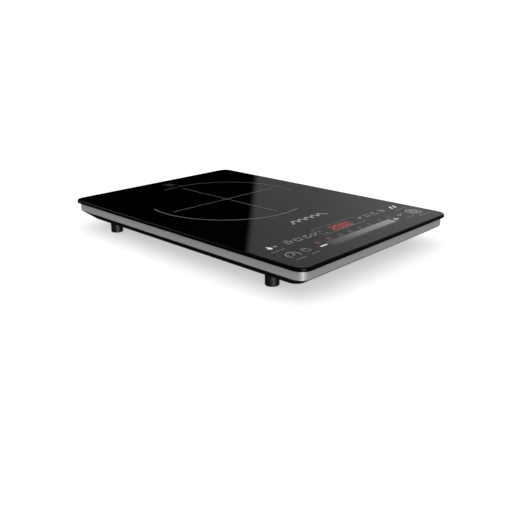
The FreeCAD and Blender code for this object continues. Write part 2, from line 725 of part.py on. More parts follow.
def make_heat_sink():
    """An extruded sink on two legs, with fins along Y."""
    extrusion = body("HeatSink")
    profile = sketch_on(extrusion, f"-({sink.y} + {sink.depth} / 2)", "XZ_Plane")
    left, right = f"({sink.x} - {sink.length} / 2)", f"({sink.x} + {sink.length} / 2)"
    base_top = f"({sink_under} + {sink.base})"
    draw_polygon(profile, [
        (left, board_top), (f"{left} + {sink.leg}", board_top), (f"{left} + {sink.leg}", sink_under),
        (f"{right} - {sink.leg}", sink_under), (f"{right} - {sink.leg}", board_top), (right, board_top),
        (right, base_top), (left, base_top)])
    pad(extrusion, profile, sink.depth)
    fins = sketch_on(extrusion, f"{base_top} - {sink.root}")
    count = int(number(sink.fins))
    for index in range(count):
        place = f"{left} + {sink.fin} / 2 + {index} * ({sink.length} - {sink.fin}) / {count - 1}"
        draw_rectangle(fins, sink.fin, sink.depth, place, sink.y)
    pad(extrusion, fins, f"{sink.fin_height} + {sink.root}")
    node("heat_sink", extrusion)


def make_power_parts():
    """The transistor and the bridge rectifier lie under the heat sink, each with a thermal pad."""
    chips = {"power_transistor": cells("transistor", x=-28, length=16, width=20, height=5),
             "bridge_rectifier": cells("bridge", x=1, length=24, width=18, height=5)}
    edge = cells("thermal", inset=2)
    pads = []
    for name, chip in chips.items():
        node(name, board_box((chip.length, chip.width, chip.height), (chip.x, sink.y)))
        size = f"{chip.length} - {edge.inset}", f"{chip.width} - {edge.inset}", f"{sink.gap} - {chip.height}"
        pads.append(block(size, (chip.x, sink.y, f"{board_top} + {chip.height}")))
    node("thermal_pads", grouped(pads))


def softened(item, radius):
    """A box with all its edges rounded."""
    doc.recompute()
    feature = doc.addObject("Part::Fillet", "Rounded")
    feature.Base = item
    feature.Edges = [(index, number(radius), number(radius)) for index in range(1, 13)]
    return feature


def make_filter_parts():
    film = cells("film", count=3, x=-60, y=-70, pitch=14, length=28, width=12, height=11, rounding=0.8)
    boxes = []
    for index in range(int(number(film.count))):
        at = film.x, f"{film.y} - {index} * {film.pitch}"
        boxes.append(softened(board_box((film.length, film.width, film.height), at), film.rounding))
    node("film_capacitors", grouped(boxes))
    can = cells("can", count=2, x=-68, y=-112, pitch=12, radius=4, height=9)
    cans = [rod(can.radius, can.height, (f"{can.x} + {index} * {can.pitch}", can.y, board_top))
            for index in range(int(number(can.count)))]
    node("electrolytic_capacitors", grouped(cans))
    choke = cells("choke", x=-88, y=-86, ring=8, wire=3.4)
    ring = doc.addObject("Part::Torus", "Choke")
    ring.setExpression("Radius1", choke.ring)
    ring.setExpression("Radius2", choke.wire)
    placed(ring, (choke.x, choke.y, f"{board_top} + {choke.wire}"))
    node("filter_choke", ring)
    power = cells("transformer", x=-89, y=-107, length=20, width=15, height=10.5, bobbin=12, overhang=3,
                  foot=1.5)
    core = board_box((power.length, power.width, power.height), (power.x, power.y))
    bobbin = block((power.bobbin, f"{power.width} + {power.overhang}", f"{power.height} - 2 * {power.foot}"),
                   (power.x, power.y, f"{board_top} + {power.foot}"))
    node("transformer", fused([core, bobbin]))


posts = cells("terminal", x=1.5, offset=11.5, y=-68, length=8, width=7, height=8)
mains = cells("mains", x=-60, y=153, length=18, width=10, height=8, wire=1.1, pitch=4)
inlet = cells("inlet", x=-84, y=-68, length=16, width=9, height=8)
fan_plug = cells("fanplug", x=22, y=-86, length=6, width=8, height=5)
sensor_plug = cells("sensorplug", x=3, y=-65, length=6, width=5, height=5)
ribbon_plug = cells("ribbonplug", x=-34, y=-123, length=14, width=5, height=4.2)


def make_board_terminals():
    terminals = []
    for side in SIDES:
        at = f"{posts.x} + {side} * {posts.offset}", posts.y
        terminals.append(board_box((posts.length, posts.width, posts.height), at))
    node("coil_terminals", grouped(terminals))
    node("mains_terminal", block((mains.length, mains.width, mains.height), (mains.x, mains.y, floor_top)))
    sockets = [board_box((plug.length, plug.width, plug.height), (plug.x, plug.y))
               for plug in (inlet, fan_plug, sensor_plug, ribbon_plug)]
    node("board_connectors", grouped(sockets))
    fuse = cells("fuse", x=-60, y=-146, radius=2.5, length=20)
    glass_tube = doc.addObject("Part::Cylinder", "Fuse")
    glass_tube.setExpression("Radius", fuse.radius)
    glass_tube.setExpression("Height", fuse.length)
    glass_tube.Placement.Rotation = FreeCAD.Rotation(Vector(0, 1, 0), 90)
    for axis, place in zip("xyz", (f"{fuse.x} - {fuse.length} / 2", fuse.y, f"{board_top} + {fuse.radius}")):
        glass_tube.setExpression(f"Placement.Base.{axis}", place)
    node("fuse", glass_tube)
    buzzer = cells("buzzer", x=5, y=-137, radius=5.5, height=4.8, hole=1, hole_depth=1)
    sounder = rod(buzzer.radius, buzzer.height, (buzzer.x, buzzer.y, board_top))
    mouth = rod(buzzer.hole, f"2 * {buzzer.hole_depth}",
                (buzzer.x, buzzer.y, f"{board_top} + {buzzer.height} - {buzzer.hole_depth}"))
    node("buzzer", drilled(sounder, [mouth]))


def make_leads(outer_end):
    """The coil's two leads, the mains wires inside the housing and the fan's lead."""
    wire_level = f"{coil.level} + {coil.wire}"
    start_y = f"{coil.y} - {coil.inner}"
    end_y = f"{posts.y} + {posts.width} / 2"
    inner = [(0, start_y, wire_level), (-3.6, start_y, wire_level), (-6.6, f"{start_y} + 2.6", wire_level),
             (-8, f"{start_y} + 5", 24.9), (-8, f"{start_y} + 4.6", 20.3), (-8.4, f"{start_y} + 1", 16.9),
             (-9.6, 8, 16), (-10.4, -18, 15.9), (-10.2, -43, 16.3), (-10, -52, 18.7), (-10, -58.5, 20.7),
             (-10, end_y, 20.7)]
    outer = [(0, outer_end.y, wire_level), (6, outer_end.y, wire_level), (11.4, -41, 27.15),
             (13, -47.5, 27.15), (13, -54.5, 22.7), (13, -59.5, 20.7), (13, end_y, 20.7)]
    wire_node("coil_leads", [inner, outer], coil.lead)
    front_face = f"{mains.y} - {mains.width} / 2"
    routes = []
    for index in (-1, 0, 1):
        block_x = f"{mains.x} + {index} * {mains.pitch}"
        run_x = f"-97.5 + {index} * 2.6"
        end_x = f"{inlet.x} + {index} * {mains.pitch}"
        routes.append([(block_x, front_face, 17.7), (block_x, 140, 17.7), (f"{block_x} - 11", 133, 15.7),
                       (f"{run_x} + 6", 118, 15.5), (f"{run_x} - 0.2", 92, 15.5), (f"{run_x} + 0.3", 62, 15.6),
                       (f"{run_x} - 0.4", 34, 15.6), (f"{run_x} + 0.2", -8, 15.5),
                       (f"{run_x} + 2", -38, 15.9), (end_x, -52, 19.7), (end_x, -58, 21.3),
                       (end_x, f"{inlet.y} + {inlet.width} / 2", 21.3)])
    wire_node("mains_wires", routes, mains.wire)
    plate_side = f"{fan.x} - {fan.plate} / 2"
    fan_lead = [(plate_side, -60, 21), (30.6, -60, 21), (28.9, -64, 20.8), (29, -71, 20.6), (29, -79, 20.3),
                (28.6, -86, 20.2), (f"{fan_plug.x} + {fan_plug.length} / 2", -86, 20.2)]
    wire_node("fan_lead", [fan_lead], fan.lead)


# ---------------------------------------------------------------- fan

motor = cells("motor", base=15, base_height=2, strut=5, tube_radius=4.5, tube_bore=3, tube_height=9.4,
              stator_level=17.7, stator_height=6, core=6.4, arm=3, arm_root=4, shoe_inner=9.6, shoe_outer=11.2,
              shoe=9, shoe_set=0.6, winding_ring=7.8, winding=2, winding_width=5.4, winding_over=0.7,
              shaft=1.5, shaft_end=0.3, bearing_gap=0.04, bearing_end=0.6)
rotor = cells("rotor", hub=15, magnet=13.5, magnet_inner=12, low=17.3, height=10.4, cap=1.5, blade_root=13.6,
              blade_tip=35.2, blade_chord=13, blade_thickness=1.2, blade_rise=8.4, blades=9,
              shaft_seat=0.8, magnet_set=1)


def make_fan_frame():
    frame = body("FanFrame")
    plate = sketch_on(frame, fan.plate_level)
    draw_rectangle(plate, fan.plate, fan.plate)
    pad(frame, plate, fan.plate_thickness)
    duct = sketch_on(frame, fan.level)
    draw_circle(duct, "0", "0", fan.duct_radius)
    pad(frame, duct, fan.height)
    bore = sketch_on(frame, fan.level)
    draw_circle(bore, "0", "0", fan.bore)
    pocket(frame, bore, fan.height)
    base = sketch_on(frame, fan.level)
    draw_circle(base, "0", "0", motor.base)
    pad(frame, base, motor.base_height)
    for turn in (60, 180, 300):
        strut = sketch_on(frame, fan.level)
        near, far = f"({motor.base} - 2)", f"({fan.bore} + 1)"
        corners = []
        for reach, side in ((near, -1), (far, -1), (far, 1), (near, 1)):
            across = f"{side} * {motor.strut} / 2"
            corners.append((f"{reach} * cos({turn}) - {across} * sin({turn})",
                            f"{reach} * sin({turn}) + {across} * cos({turn})"))
        draw_polygon(strut, corners)
        pad(frame, strut, motor.base_height)
    holder = sketch_on(frame, fan.level)
    draw_circle(holder, "0", "0", motor.tube_radius)
    pad(frame, holder, f"{motor.base_height} + {motor.tube_height}")
    hollow = sketch_on(frame, f"{fan.level} + {motor.base_height}")
    draw_circle(hollow, "0", "0", motor.tube_bore)
    pocket(frame, hollow, motor.tube_height)
    ears = sketch_on(frame, fan.plate_level)
    for x, y in CORNERS:
        draw_circle(ears, f"{x} * {fan.ear}", f"{y} * {fan.ear}", fan.ear_hole)
    pocket(frame, ears, fan.plate_thickness)
    placed(frame, (fan.x, fan.y, "0"))
    node("fan_frame", frame)
    ear_top = f"({fan.plate_level} + {fan.plate_thickness})"
    node("fan_screws", grouped([small_screw(fan.screw_length, (x, y, ear_top)) for x, y in fan_ears]))


def make_fan_motor():
    stator = body("FanStator")
    core = sketch_on(stator, motor.stator_level)
    draw_circle(core, "0", "0", motor.core)
    pad(stator, core, motor.stator_height)
    arm = sketch_on(stator, motor.stator_level)
    arm_length = f"({motor.shoe_inner} - {motor.arm_root})"
    draw_rectangle(arm, arm_length, motor.arm, f"{motor.arm_root} + {arm_length} / 2", "0")
    arm_pad = pad(stator, arm, motor.stator_height)
    shoe = sketch_on(stator, motor.stator_level)
    shoe_span = f"({motor.shoe_outer} - {motor.shoe_inner})"
    shoe_x = f"{motor.shoe_inner} - {motor.shoe_set} + {shoe_span} / 2"
    draw_rectangle(shoe, shoe_span, motor.shoe, shoe_x, "0")
    shoe_pad = pad(stator, shoe, motor.stator_height)
    doc.recompute()
    repeated(stator, [arm_pad, shoe_pad], 4)
    centre = sketch_on(stator, motor.stator_level)
    draw_circle(centre, "0", "0", motor.tube_radius)
    pocket(stator, centre, motor.stator_height)
    placed(stator, (fan.x, fan.y, "0"))
    node("fan_stator", stator)
    coils = []
    for quarter in range(4):
        turn = 90 * quarter
        x = f"({fan.x} + {motor.winding_ring} * cos({turn}))"
        y = f"({fan.y} + {motor.winding_ring} * sin({turn}))"
        wound_height = f"{motor.stator_height} + 2 * {motor.winding_over}"
        wound = block((motor.winding, motor.winding_width, wound_height),
                      (x, y, f"{motor.stator_level} - {motor.winding_over}"), turn)
        arm_size = f"2 * {motor.winding}", motor.arm, motor.stator_height
        arm_space = block(arm_size, (x, y, motor.stator_level), turn)
        coils.append(drilled(wound, [arm_space]))
    node("fan_windings", grouped(coils))
    bearing_level = f"({fan.level} + {motor.base_height} + {motor.bearing_end})"
    node("fan_bearing", tube(motor.tube_bore, f"{motor.shaft} + {motor.bearing_gap}",
                             f"{motor.tube_height} - 2 * {motor.bearing_end}", (fan.x, fan.y, bearing_level)))


def make_fan_rotor():
    """The impeller with its magnet ring and shaft, which turn as one."""
    cap_under = f"({rotor.low} + {rotor.height} - {rotor.cap})"
    shaft_low = f"({fan.level} + {motor.base_height} + {motor.shaft_end})"
    shaft_length = f"{cap_under} + {rotor.shaft_seat} - {shaft_low}"
    node("fan_shaft", rod(motor.shaft, shaft_length, (fan.x, fan.y, shaft_low)))
    magnet_low = f"({rotor.low} + {rotor.magnet_set})"
    node("fan_magnet", tube(rotor.magnet, rotor.magnet_inner, f"{cap_under} - {magnet_low}",
                            (fan.x, fan.y, magnet_low)))
    impeller = body("FanRotor")
    hub = sketch_on(impeller, rotor.low)
    draw_circle(hub, "0", "0", rotor.hub)
    pad(impeller, hub, rotor.height)
    blade = sketch_on(impeller, f"-({rotor.blade_tip})", "XZ_Plane")
    slope_x, slope_z = f"({rotor.blade_chord} / 2)", f"({rotor.blade_rise} / 2)"
    middle = f"({rotor.low} + {rotor.height} / 2)"
    draw_polygon(blade, [
        (f"-{slope_x}", f"{middle} - {slope_z} - {rotor.blade_thickness} / 2"),
        (slope_x, f"{middle} + {slope_z} - {rotor.blade_thickness} / 2"),
        (slope_x, f"{middle} + {slope_z} + {rotor.blade_thickness} / 2"),
        (f"-{slope_x}", f"{middle} - {slope_z} + {rotor.blade_thickness} / 2")])
    blade_pad = pad(impeller, blade, f"{rotor.blade_tip} - {rotor.blade_root}")
    doc.recompute()
    repeated(impeller, [blade_pad], number(rotor.blades))
    cup = sketch_on(impeller, rotor.low)
    draw_circle(cup, "0", "0", rotor.magnet)
    pocket(impeller, cup, f"{rotor.height} - {rotor.cap}")
    bore = sketch_on(impeller, rotor.low)
    draw_circle(bore, "0", "0", motor.shaft)
    pocket(impeller, bore, f"{cap_under} + {rotor.shaft_seat} - {rotor.low}")
    placed(impeller, (fan.x, fan.y, "0"))
    node("fan_impeller", impeller)


# ---------------------------------------------------------------- touch panel

panel = cells("panel", y=-141.5, length=226, width=47, level=26.7, thickness=1.6, bracket=1.5,
              bracket_level=23.7, notch=5.2, rim=2, leg=3.4, leg_root=0.5, slot_length=20, slot_width=8)
panel_top = f"({panel.level} + {panel.thickness})"


def panel_outline(sketch):
    draw_rectangle(sketch, panel.length, panel.width, "0", panel.y)


def panel_notches(owner, level, depth):
    notches = sketch_on(owner, level)
    for x, y in fixing_points:
        if y.startswith("-"):
            draw_circle(notches, x, y, panel.notch)
    pocket(owner, notches, depth)


def make_panel():
    circuit = body("ControlBoard")
    outline = sketch_on(circuit, panel.level)
    panel_outline(outline)
    pad(circuit, outline, panel.thickness)
    panel_notches(circuit, panel.level, panel.thickness)
    node("control_board", circuit)
    support = body("ControlBracket")
    outline = sketch_on(support, panel.bracket_level)
    panel_outline(outline)
    pad(support, outline, f"{panel.level} - {panel.bracket_level}")
    hollow = sketch_on(support, f"{panel.bracket_level} + {panel.bracket}")
    inner_length, inner_width = f"{panel.length} - 2 * {panel.rim}", f"{panel.width} - 2 * {panel.rim}"
    draw_rectangle(hollow, inner_length, inner_width, "0", panel.y)
    pocket(support, hollow, f"{panel.level} - {panel.bracket_level} - {panel.bracket}")
    slot = sketch_on(support, panel.bracket_level)
    draw_rectangle(slot, panel.slot_length, panel.slot_width, ribbon_plug.x,
                   f"{panel.y} + {panel.width} / 2 - {panel.slot_width} / 2")
    pocket(support, slot, f"{panel.level} - {panel.bracket_level}")
    panel_notches(support, panel.bracket_level, f"{panel.level} - {panel.bracket_level}")
    legs = sketch_on(support, foot_boss_top)
    for x, y in foot_points:
        if y.startswith("-"):
            draw_circle(legs, x, y, panel.leg)
    pad(support, legs, f"{panel.bracket_level} - {foot_boss_top} + {panel.leg_root}")
    node("control_bracket", support)


def make_panel_parts():
    gap = f"({glass_under} - {panel_top})"
    display = cells("display", x=3, y=-128.8, length=46, width=18)
    node("led_display", block((display.length, display.width, gap), (display.x, display.y, panel_top)))
    guide = cells("guide", x=2.1, y=-157.4, length=116.5, width=10.6)
    node("slider_light_guide", block((guide.length, guide.width, gap), (guide.x, guide.y, panel_top)))
    touch = cells("touch", radius=3.6, wall=0.4, outer_x=108.5, icon_y=-126, key_y=-155)
    fields = [(f"-{touch.outer_x}", touch.icon_y), (f"-{touch.outer_x}", touch.key_y), (-87, touch.key_y),
              (-66.5, touch.key_y), (67, touch.key_y), (86, touch.key_y), (touch.outer_x, touch.key_y),
              (touch.outer_x, touch.icon_y)]
    touch_bore = f"{touch.radius} - {touch.wall}"
    springs = [tube(touch.radius, touch_bore, gap, (x, y, panel_top)) for x, y in fields]
    node("touch_springs", grouped(springs))
    lamp = cells("lamp", length=3, width=1.6, height=1.2, icon_y=-125, level_y=-147, level_pitch=18.3,
                 level_count=6)
    spots = [(x, lamp.icon_y) for x in (-81, -67, -53.5, -41.5, 44, 57, 70.6, 86)]
    for index in range(int(number(lamp.level_count))):
        spots.append((f"({index} - ({lamp.level_count} - 1) / 2) * {lamp.level_pitch}", lamp.level_y))
    lamps = [block((lamp.length, lamp.width, lamp.height), (x, y, panel_top)) for x, y in spots]
    node("indicator_leds", grouped(lamps))
    chip = cells("logic", controller=10, driver=7, height=1.1, y=-138)
    chips = [block((side, side, chip.height), (x, chip.y, f"{panel.level} - {chip.height}"))
             for side, x in ((chip.controller, 20), (chip.driver, -55), (chip.driver, 70))]
    node("control_chips", grouped(chips))


def make_ribbon():
    """A flat cable from under the control board down to its socket on the main board."""
    flat = cells("ribbon", width=12, thickness=0.6, start=2.5, end=0.5, straight=2, drop=0.7)
    start_y, level = number(ribbon_plug.y) + number(flat.start), number(panel.level)
    end_y = number(ribbon_plug.y) + number(flat.end)
    bend_level = level - number(flat.straight)
    socket_top = number(f"{board_top} + {ribbon_plug.height}")
    x = number(ribbon_plug.x)
    route = [Vector(x, start_y, level), Vector(x, start_y, bend_level),
             Vector(x, end_y, bend_level - number(flat.drop)), Vector(x, end_y, socket_top)]
    half_width, half_thickness = number(flat.width) / 2, number(flat.thickness) / 2
    corners = [Vector(x + side_x * half_width, start_y + side_y * half_thickness, level)
               for side_x, side_y in ((-1, -1), (1, -1), (1, 1), (-1, 1))]
    feature = doc.addObject("Part::Feature", "Ribbon")
    feature.Shape = swept(bent_path(route), Part.makePolygon(corners + corners[:1]))
    node("ribbon_cable", feature)


make_glass()
make_adhesive()
make_trim()
make_housing()
make_feet()
make_housing_fasteners()
make_label()
make_grommet()
make_former()
outer_end = make_coil()
make_coil_cover()
make_coil_mounts()
make_sensor()
make_board()
make_heat_sink()
make_power_parts()
make_filter_parts()
make_board_terminals()
make_leads(outer_end)
make_fan_frame()
make_fan_motor()
make_fan_rotor()
make_panel()
make_panel_parts()
make_ribbon()
doc.recompute()

for item in doc.Objects:
    if "Invalid" in item.State or "Error" in item.State:
        raise RuntimeError(f"{item.Name} failed: {item.State}")
for item in nodes:
    if item.Shape.isNull() or not item.Shape.isValid():
        raise RuntimeError(f"{item.Label} has no valid shape")

os.makedirs("parts", exist_ok=True)
for item in nodes:
    item.Shape.exportStep(f"parts/{item.Label}.step")
print(len(nodes), "nodes")
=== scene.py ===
import itertools
import json
import math
import bmesh
import bpy
from mathutils import Matrix, Vector


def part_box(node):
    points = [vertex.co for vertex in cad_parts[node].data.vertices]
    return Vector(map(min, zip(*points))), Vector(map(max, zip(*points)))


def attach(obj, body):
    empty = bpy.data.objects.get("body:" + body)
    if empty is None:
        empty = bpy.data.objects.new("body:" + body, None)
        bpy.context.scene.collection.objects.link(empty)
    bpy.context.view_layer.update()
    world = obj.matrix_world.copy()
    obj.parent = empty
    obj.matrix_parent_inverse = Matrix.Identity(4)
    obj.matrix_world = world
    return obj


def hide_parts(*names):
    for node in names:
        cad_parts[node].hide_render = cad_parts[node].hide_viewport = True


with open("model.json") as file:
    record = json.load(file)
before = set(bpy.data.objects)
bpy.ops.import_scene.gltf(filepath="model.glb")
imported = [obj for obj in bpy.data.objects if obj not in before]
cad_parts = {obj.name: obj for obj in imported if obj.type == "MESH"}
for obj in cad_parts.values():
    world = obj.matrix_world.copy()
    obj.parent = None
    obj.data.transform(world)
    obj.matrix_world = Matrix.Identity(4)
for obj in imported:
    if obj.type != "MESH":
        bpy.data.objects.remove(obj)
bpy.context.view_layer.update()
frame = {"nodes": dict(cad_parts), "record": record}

MM = 0.001

# ---------------------------------------------------------------- camera

CAMERA_PLACE = Vector((-0.5393, -0.5179, 0.2306))
LOOK = Vector((0.6842, 0.6513, -0.3282)).normalized()
RIGHT = LOOK.cross(Vector((0, 0, 1))).normalized()
LENS = 44.63
SENSOR = 36.0


def make_camera():
    data = bpy.data.cameras.new("camera")
    data.lens = LENS
    data.sensor_width = SENSOR
    data.clip_start = 0.01
    data.clip_end = 100
    camera = bpy.data.objects.new("camera", data)
    turn = Matrix((RIGHT, RIGHT.cross(LOOK), -LOOK)).transposed()
    camera.matrix_world = Matrix.Translation(CAMERA_PLACE) @ turn.to_4x4()
    bpy.context.scene.collection.objects.link(camera)
    bpy.context.scene.camera = camera


# ---------------------------------------------------------------- node helpers

NOISE_ROUGHNESS = 0.55


class Graph:
    """Short calls for the nodes of a shader tree."""

    def __init__(self, tree):
        self.tree = tree

    def add(self, kind, **settings):
        made = self.tree.nodes.new(kind)
        for name, value in settings.items():
            setattr(made, name, value)
        return made

    def put(self, socket, value):
        if isinstance(value, bpy.types.NodeSocket):
            self.tree.links.new(value, socket)
        elif value is not None:
            socket.default_value = value

    def math(self, operation, first, second=None, third=None):
        made = self.add("ShaderNodeMath", operation=operation)
        for socket, value in zip(made.inputs, (first, second, third)):
            self.put(socket, value)
        return made.outputs[0]

    def dot(self, vector, direction):
        made = self.add("ShaderNodeVectorMath", operation="DOT_PRODUCT")
        self.put(made.inputs[0], vector)
        self.put(made.inputs[1], direction)
        return made.outputs["Value"]

    def ramp(self, value, *stops):
        """A colour ramp; each stop is a position and a grey level or a colour."""
        made = self.add("ShaderNodeValToRGB")
        elements = made.color_ramp.elements
        while len(elements) < len(stops):
            elements.new(1.0)
        for element, (position, colour) in zip(elements, stops):
            element.position = position
            element.color = rgba(colour)
        self.put(made.inputs["Fac"], value)
        return made.outputs["Color"]

    def mix(self, share, first, second):
        made = self.add("ShaderNodeMix", data_type="RGBA")
        self.put(made.inputs[0], share)
        self.put(made.inputs[6], rgba(first))
        self.put(made.inputs[7], rgba(second))
        return made.outputs[2]

    def remap(self, value, low, high, new_low, new_high, smooth=False):
        made = self.add("ShaderNodeMapRange")
        if smooth:
            made.interpolation_type = "SMOOTHSTEP"
        for socket, number in zip(made.inputs, (value, low, high, new_low, new_high)):
            self.put(socket, number)
        return made.outputs[0]

    def place(self, stretch=(1, 1, 1)):
        """Object coordinates in metres, stretched along an axis for brushed or drawn surfaces."""
        source = self.add("ShaderNodeTexCoord")
        mapping = self.add("ShaderNodeMapping")
        mapping.inputs["Scale"].default_value = stretch
        self.tree.links.new(source.outputs["Object"], mapping.inputs["Vector"])
        return mapping.outputs["Vector"]

    def noise(self, vector, scale, detail=3.0):
        made = self.add("ShaderNodeTexNoise")
        self.put(made.inputs["Vector"], vector)
        made.inputs["Scale"].default_value = scale
        made.inputs["Detail"].default_value = detail
        made.inputs["Roughness"].default_value = NOISE_ROUGHNESS
        return made.outputs["Fac"]

    def bump(self, height, strength, distance):
        made = self.add("ShaderNodeBump")
        made.inputs["Strength"].default_value = strength
        made.inputs["Distance"].default_value = distance
        self.put(made.inputs["Height"], height)
        return made.outputs["Normal"]


def rgba(colour):
    if isinstance(colour, bpy.types.NodeSocket):
        return colour
    if isinstance(colour, (int, float)):
        return (colour, colour, colour, 1.0)
    return (*colour[:3], 1.0)


# ---------------------------------------------------------------- studio

BACKDROP = 1.0
DOME_TOP = 1.0
DOME_EDGE = 1.1
PANEL_SIDE = (0.666, -0.737, 0.117)  # across the boundary between the black side and the grey panel
PANEL_SOFTNESS = 0.007
PANEL_GREYS = (0.0, 0.18), (0.1, 0.21), (0.2, 0.31), (0.26, 0.36), (0.6, 0.55)  # how far past it, grey
PANEL_RISE = 0.2, 0.4, -0.02, 0.08  # between the first two heights, the grey changes by the last two amounts
PANEL_TOP = 0.38, 0.50
OVERHEAD = 0.25
OVERHEAD_HEIGHTS = 0.86, 0.97
BEVEL_LIGHT = (-0.26, 0.80, 0.54)  # toward the faint light that lines the left long edge of the glass
BEVEL_SPREAD = 0.975
BEVEL_STRENGTH = 4.0


def make_world():
    """A white studio. Gloss sees a black side and a grey side, as the black glass in the photograph does."""
    world = bpy.data.worlds.new("studio")
    bpy.context.scene.world = world
    world.use_nodes = True
    world.cycles.sampling_method = "NONE"
    graph = Graph(world.node_tree)
    world.node_tree.nodes.clear()
    direction = graph.add("ShaderNodeTexCoord").outputs["Generated"]
    height = graph.dot(direction, (0, 0, 1))
    dome = graph.remap(height, 0.0, 0.5, DOME_EDGE, DOME_TOP)
    side = graph.dot(direction, PANEL_SIDE)
    edge = graph.remap(side, -PANEL_SOFTNESS, PANEL_SOFTNESS, 0.0, 1.0, smooth=True)
    grey = graph.math("ADD", graph.ramp(side, *PANEL_GREYS), graph.remap(height, *PANEL_RISE))
    grey = graph.math("MULTIPLY", grey, graph.remap(height, *PANEL_TOP, 1.0, 0.0, smooth=True))
    overhead = graph.remap(height, *OVERHEAD_HEIGHTS, 0.0, OVERHEAD, smooth=True)
    lobe = graph.remap(graph.dot(direction, BEVEL_LIGHT), BEVEL_SPREAD, 1.0, 0.0, BEVEL_STRENGTH, smooth=True)
    glossy = graph.math("ADD", graph.math("MULTIPLY_ADD", grey, edge, overhead), lobe)
    rays = graph.add("ShaderNodeLightPath")
    seen = graph.mix(rays.outputs["Is Glossy Ray"], dome, glossy)
    seen = graph.mix(rays.outputs["Is Camera Ray"], seen, BACKDROP)
    background = graph.add("ShaderNodeBackground")
    graph.put(background.inputs["Color"], seen)
    output = graph.add("ShaderNodeOutputWorld")
    graph.put(output.inputs["Surface"], background.outputs["Background"])


FLOOR_HALF = 12.0
FLOOR_WHITE = 0.68
FLOOR_GRAIN = 0.005
FLOOR_GLOW = 0.49
FLOOR_IN_GLOSS = 0.03


def make_floor():
    """A white table. It stays dark in reflections, because the photograph's glass edge reflects nothing."""
    mesh = bpy.data.meshes.new("floor")
    corners = [(x * FLOOR_HALF, y * FLOOR_HALF, 0) for x, y in ((-1, -1), (1, -1), (1, 1), (-1, 1))]
    mesh.from_pydata(corners, [], [(0, 1, 2, 3)])
    floor = bpy.data.objects.new("floor", mesh)
    bpy.context.scene.collection.objects.link(floor)
    material = bpy.data.materials.new("floor_white")
    material.use_nodes = True
    graph = Graph(material.node_tree)
    material.node_tree.nodes.clear()
    grain = graph.noise(graph.place(), 60)
    white = graph.remap(grain, 0.0, 1.0, FLOOR_WHITE - FLOOR_GRAIN, FLOOR_WHITE + FLOOR_GRAIN)
    rays = graph.add("ShaderNodeLightPath")
    seen = graph.mix(rays.outputs["Is Glossy Ray"], white, FLOOR_IN_GLOSS)
    diffuse = graph.add("ShaderNodeBsdfDiffuse")
    graph.put(diffuse.inputs["Color"], seen)
    glow = graph.add("ShaderNodeEmission")
    graph.put(glow.inputs["Strength"], graph.math("MULTIPLY", rays.outputs["Is Camera Ray"], FLOOR_GLOW))
    both = graph.add("ShaderNodeAddShader")
    graph.put(both.inputs[0], diffuse.outputs["BSDF"])
    graph.put(both.inputs[1], glow.outputs["Emission"])
    output = graph.add("ShaderNodeOutputMaterial")
    graph.put(output.inputs["Surface"], both.outputs["Shader"])
    mesh.materials.append(material)


CORNER_LIGHT_PLACE = Vector((-1.04, -1.95, 0.10))
CORNER_LIGHT_AIM = Vector((0, 0, 0.03))
CORNER_LIGHT_SIZE = 0.55, 0.50
CORNER_LIGHT_WATTS = 64.0


def make_corner_light():
    """A low light behind the camera, for the shine on the trim's rounded corner and on the feet."""
    data = bpy.data.lights.new("corner_light", "AREA")
    data.shape = "RECTANGLE"
    data.size, data.size_y = CORNER_LIGHT_SIZE
    data.energy = CORNER_LIGHT_WATTS
    light = bpy.data.objects.new("corner_light", data)
    light.location = CORNER_LIGHT_PLACE
    light.rotation_mode = "QUATERNION"
    light.rotation_quaternion = (CORNER_LIGHT_AIM - CORNER_LIGHT_PLACE).to_track_quat("-Z", "Y")
    light.visible_camera = False
    light.visible_diffuse = False
    bpy.context.scene.collection.objects.link(light)


# ---------------------------------------------------------------- materials

def principled(name, **sockets):
    material = bpy.data.materials.new(name)
    material.use_nodes = True
    shader = material.node_tree.nodes["Principled BSDF"]
    for socket, value in sockets.items():
        shader.inputs[socket.replace("_", " ")].default_value = value
    return material, shader, Graph(material.node_tree)


def surface(name, colour, roughness, metallic=0.0, grain=900.0, mottle=0.12, sheen=0.06, relief=0.1,
            depth=0.02, stretch=(1, 1, 1), specular=0.5):
    """A grained surface: mottled colour, uneven gloss and a fine relief (depth in mm)."""
    material, shader, graph = principled(name, Metallic=metallic, Specular_IOR_Level=specular)
    place = graph.place(stretch)
    fine = graph.noise(place, grain, detail=4.0)
    broad = graph.noise(graph.place(), grain / 12, detail=2.0)
    both = graph.math("MULTIPLY_ADD", fine, 0.6, graph.math("MULTIPLY", broad, 0.4))
    darker = [c * (1 - mottle) for c in colour]
    lighter = [min(1.0, c * (1 + mottle)) for c in colour]
    graph.put(shader.inputs["Base Color"], graph.ramp(both, (0.3, darker), (0.7, lighter)))
    graph.put(shader.inputs["Roughness"],
              graph.remap(broad, 0.3, 0.7, max(0.02, roughness - sheen), roughness + sheen))
    graph.put(shader.inputs["Normal"], graph.bump(fine, relief, depth * MM))
    return material


def glass_material():
    """Black ceramic glass: a polished face over a dark body with a very faint waviness in its gloss."""
    material, shader, graph = principled("ceramic_glass_black", IOR=1.5)
    haze = graph.noise(graph.place(), 25, detail=2.0)
    graph.put(shader.inputs["Base Color"], graph.ramp(haze, (0.3, 0.0004), (0.7, 0.0008)))
    graph.put(shader.inputs["Roughness"], graph.remap(haze, 0.3, 0.7, 0.02, 0.03))
    return material


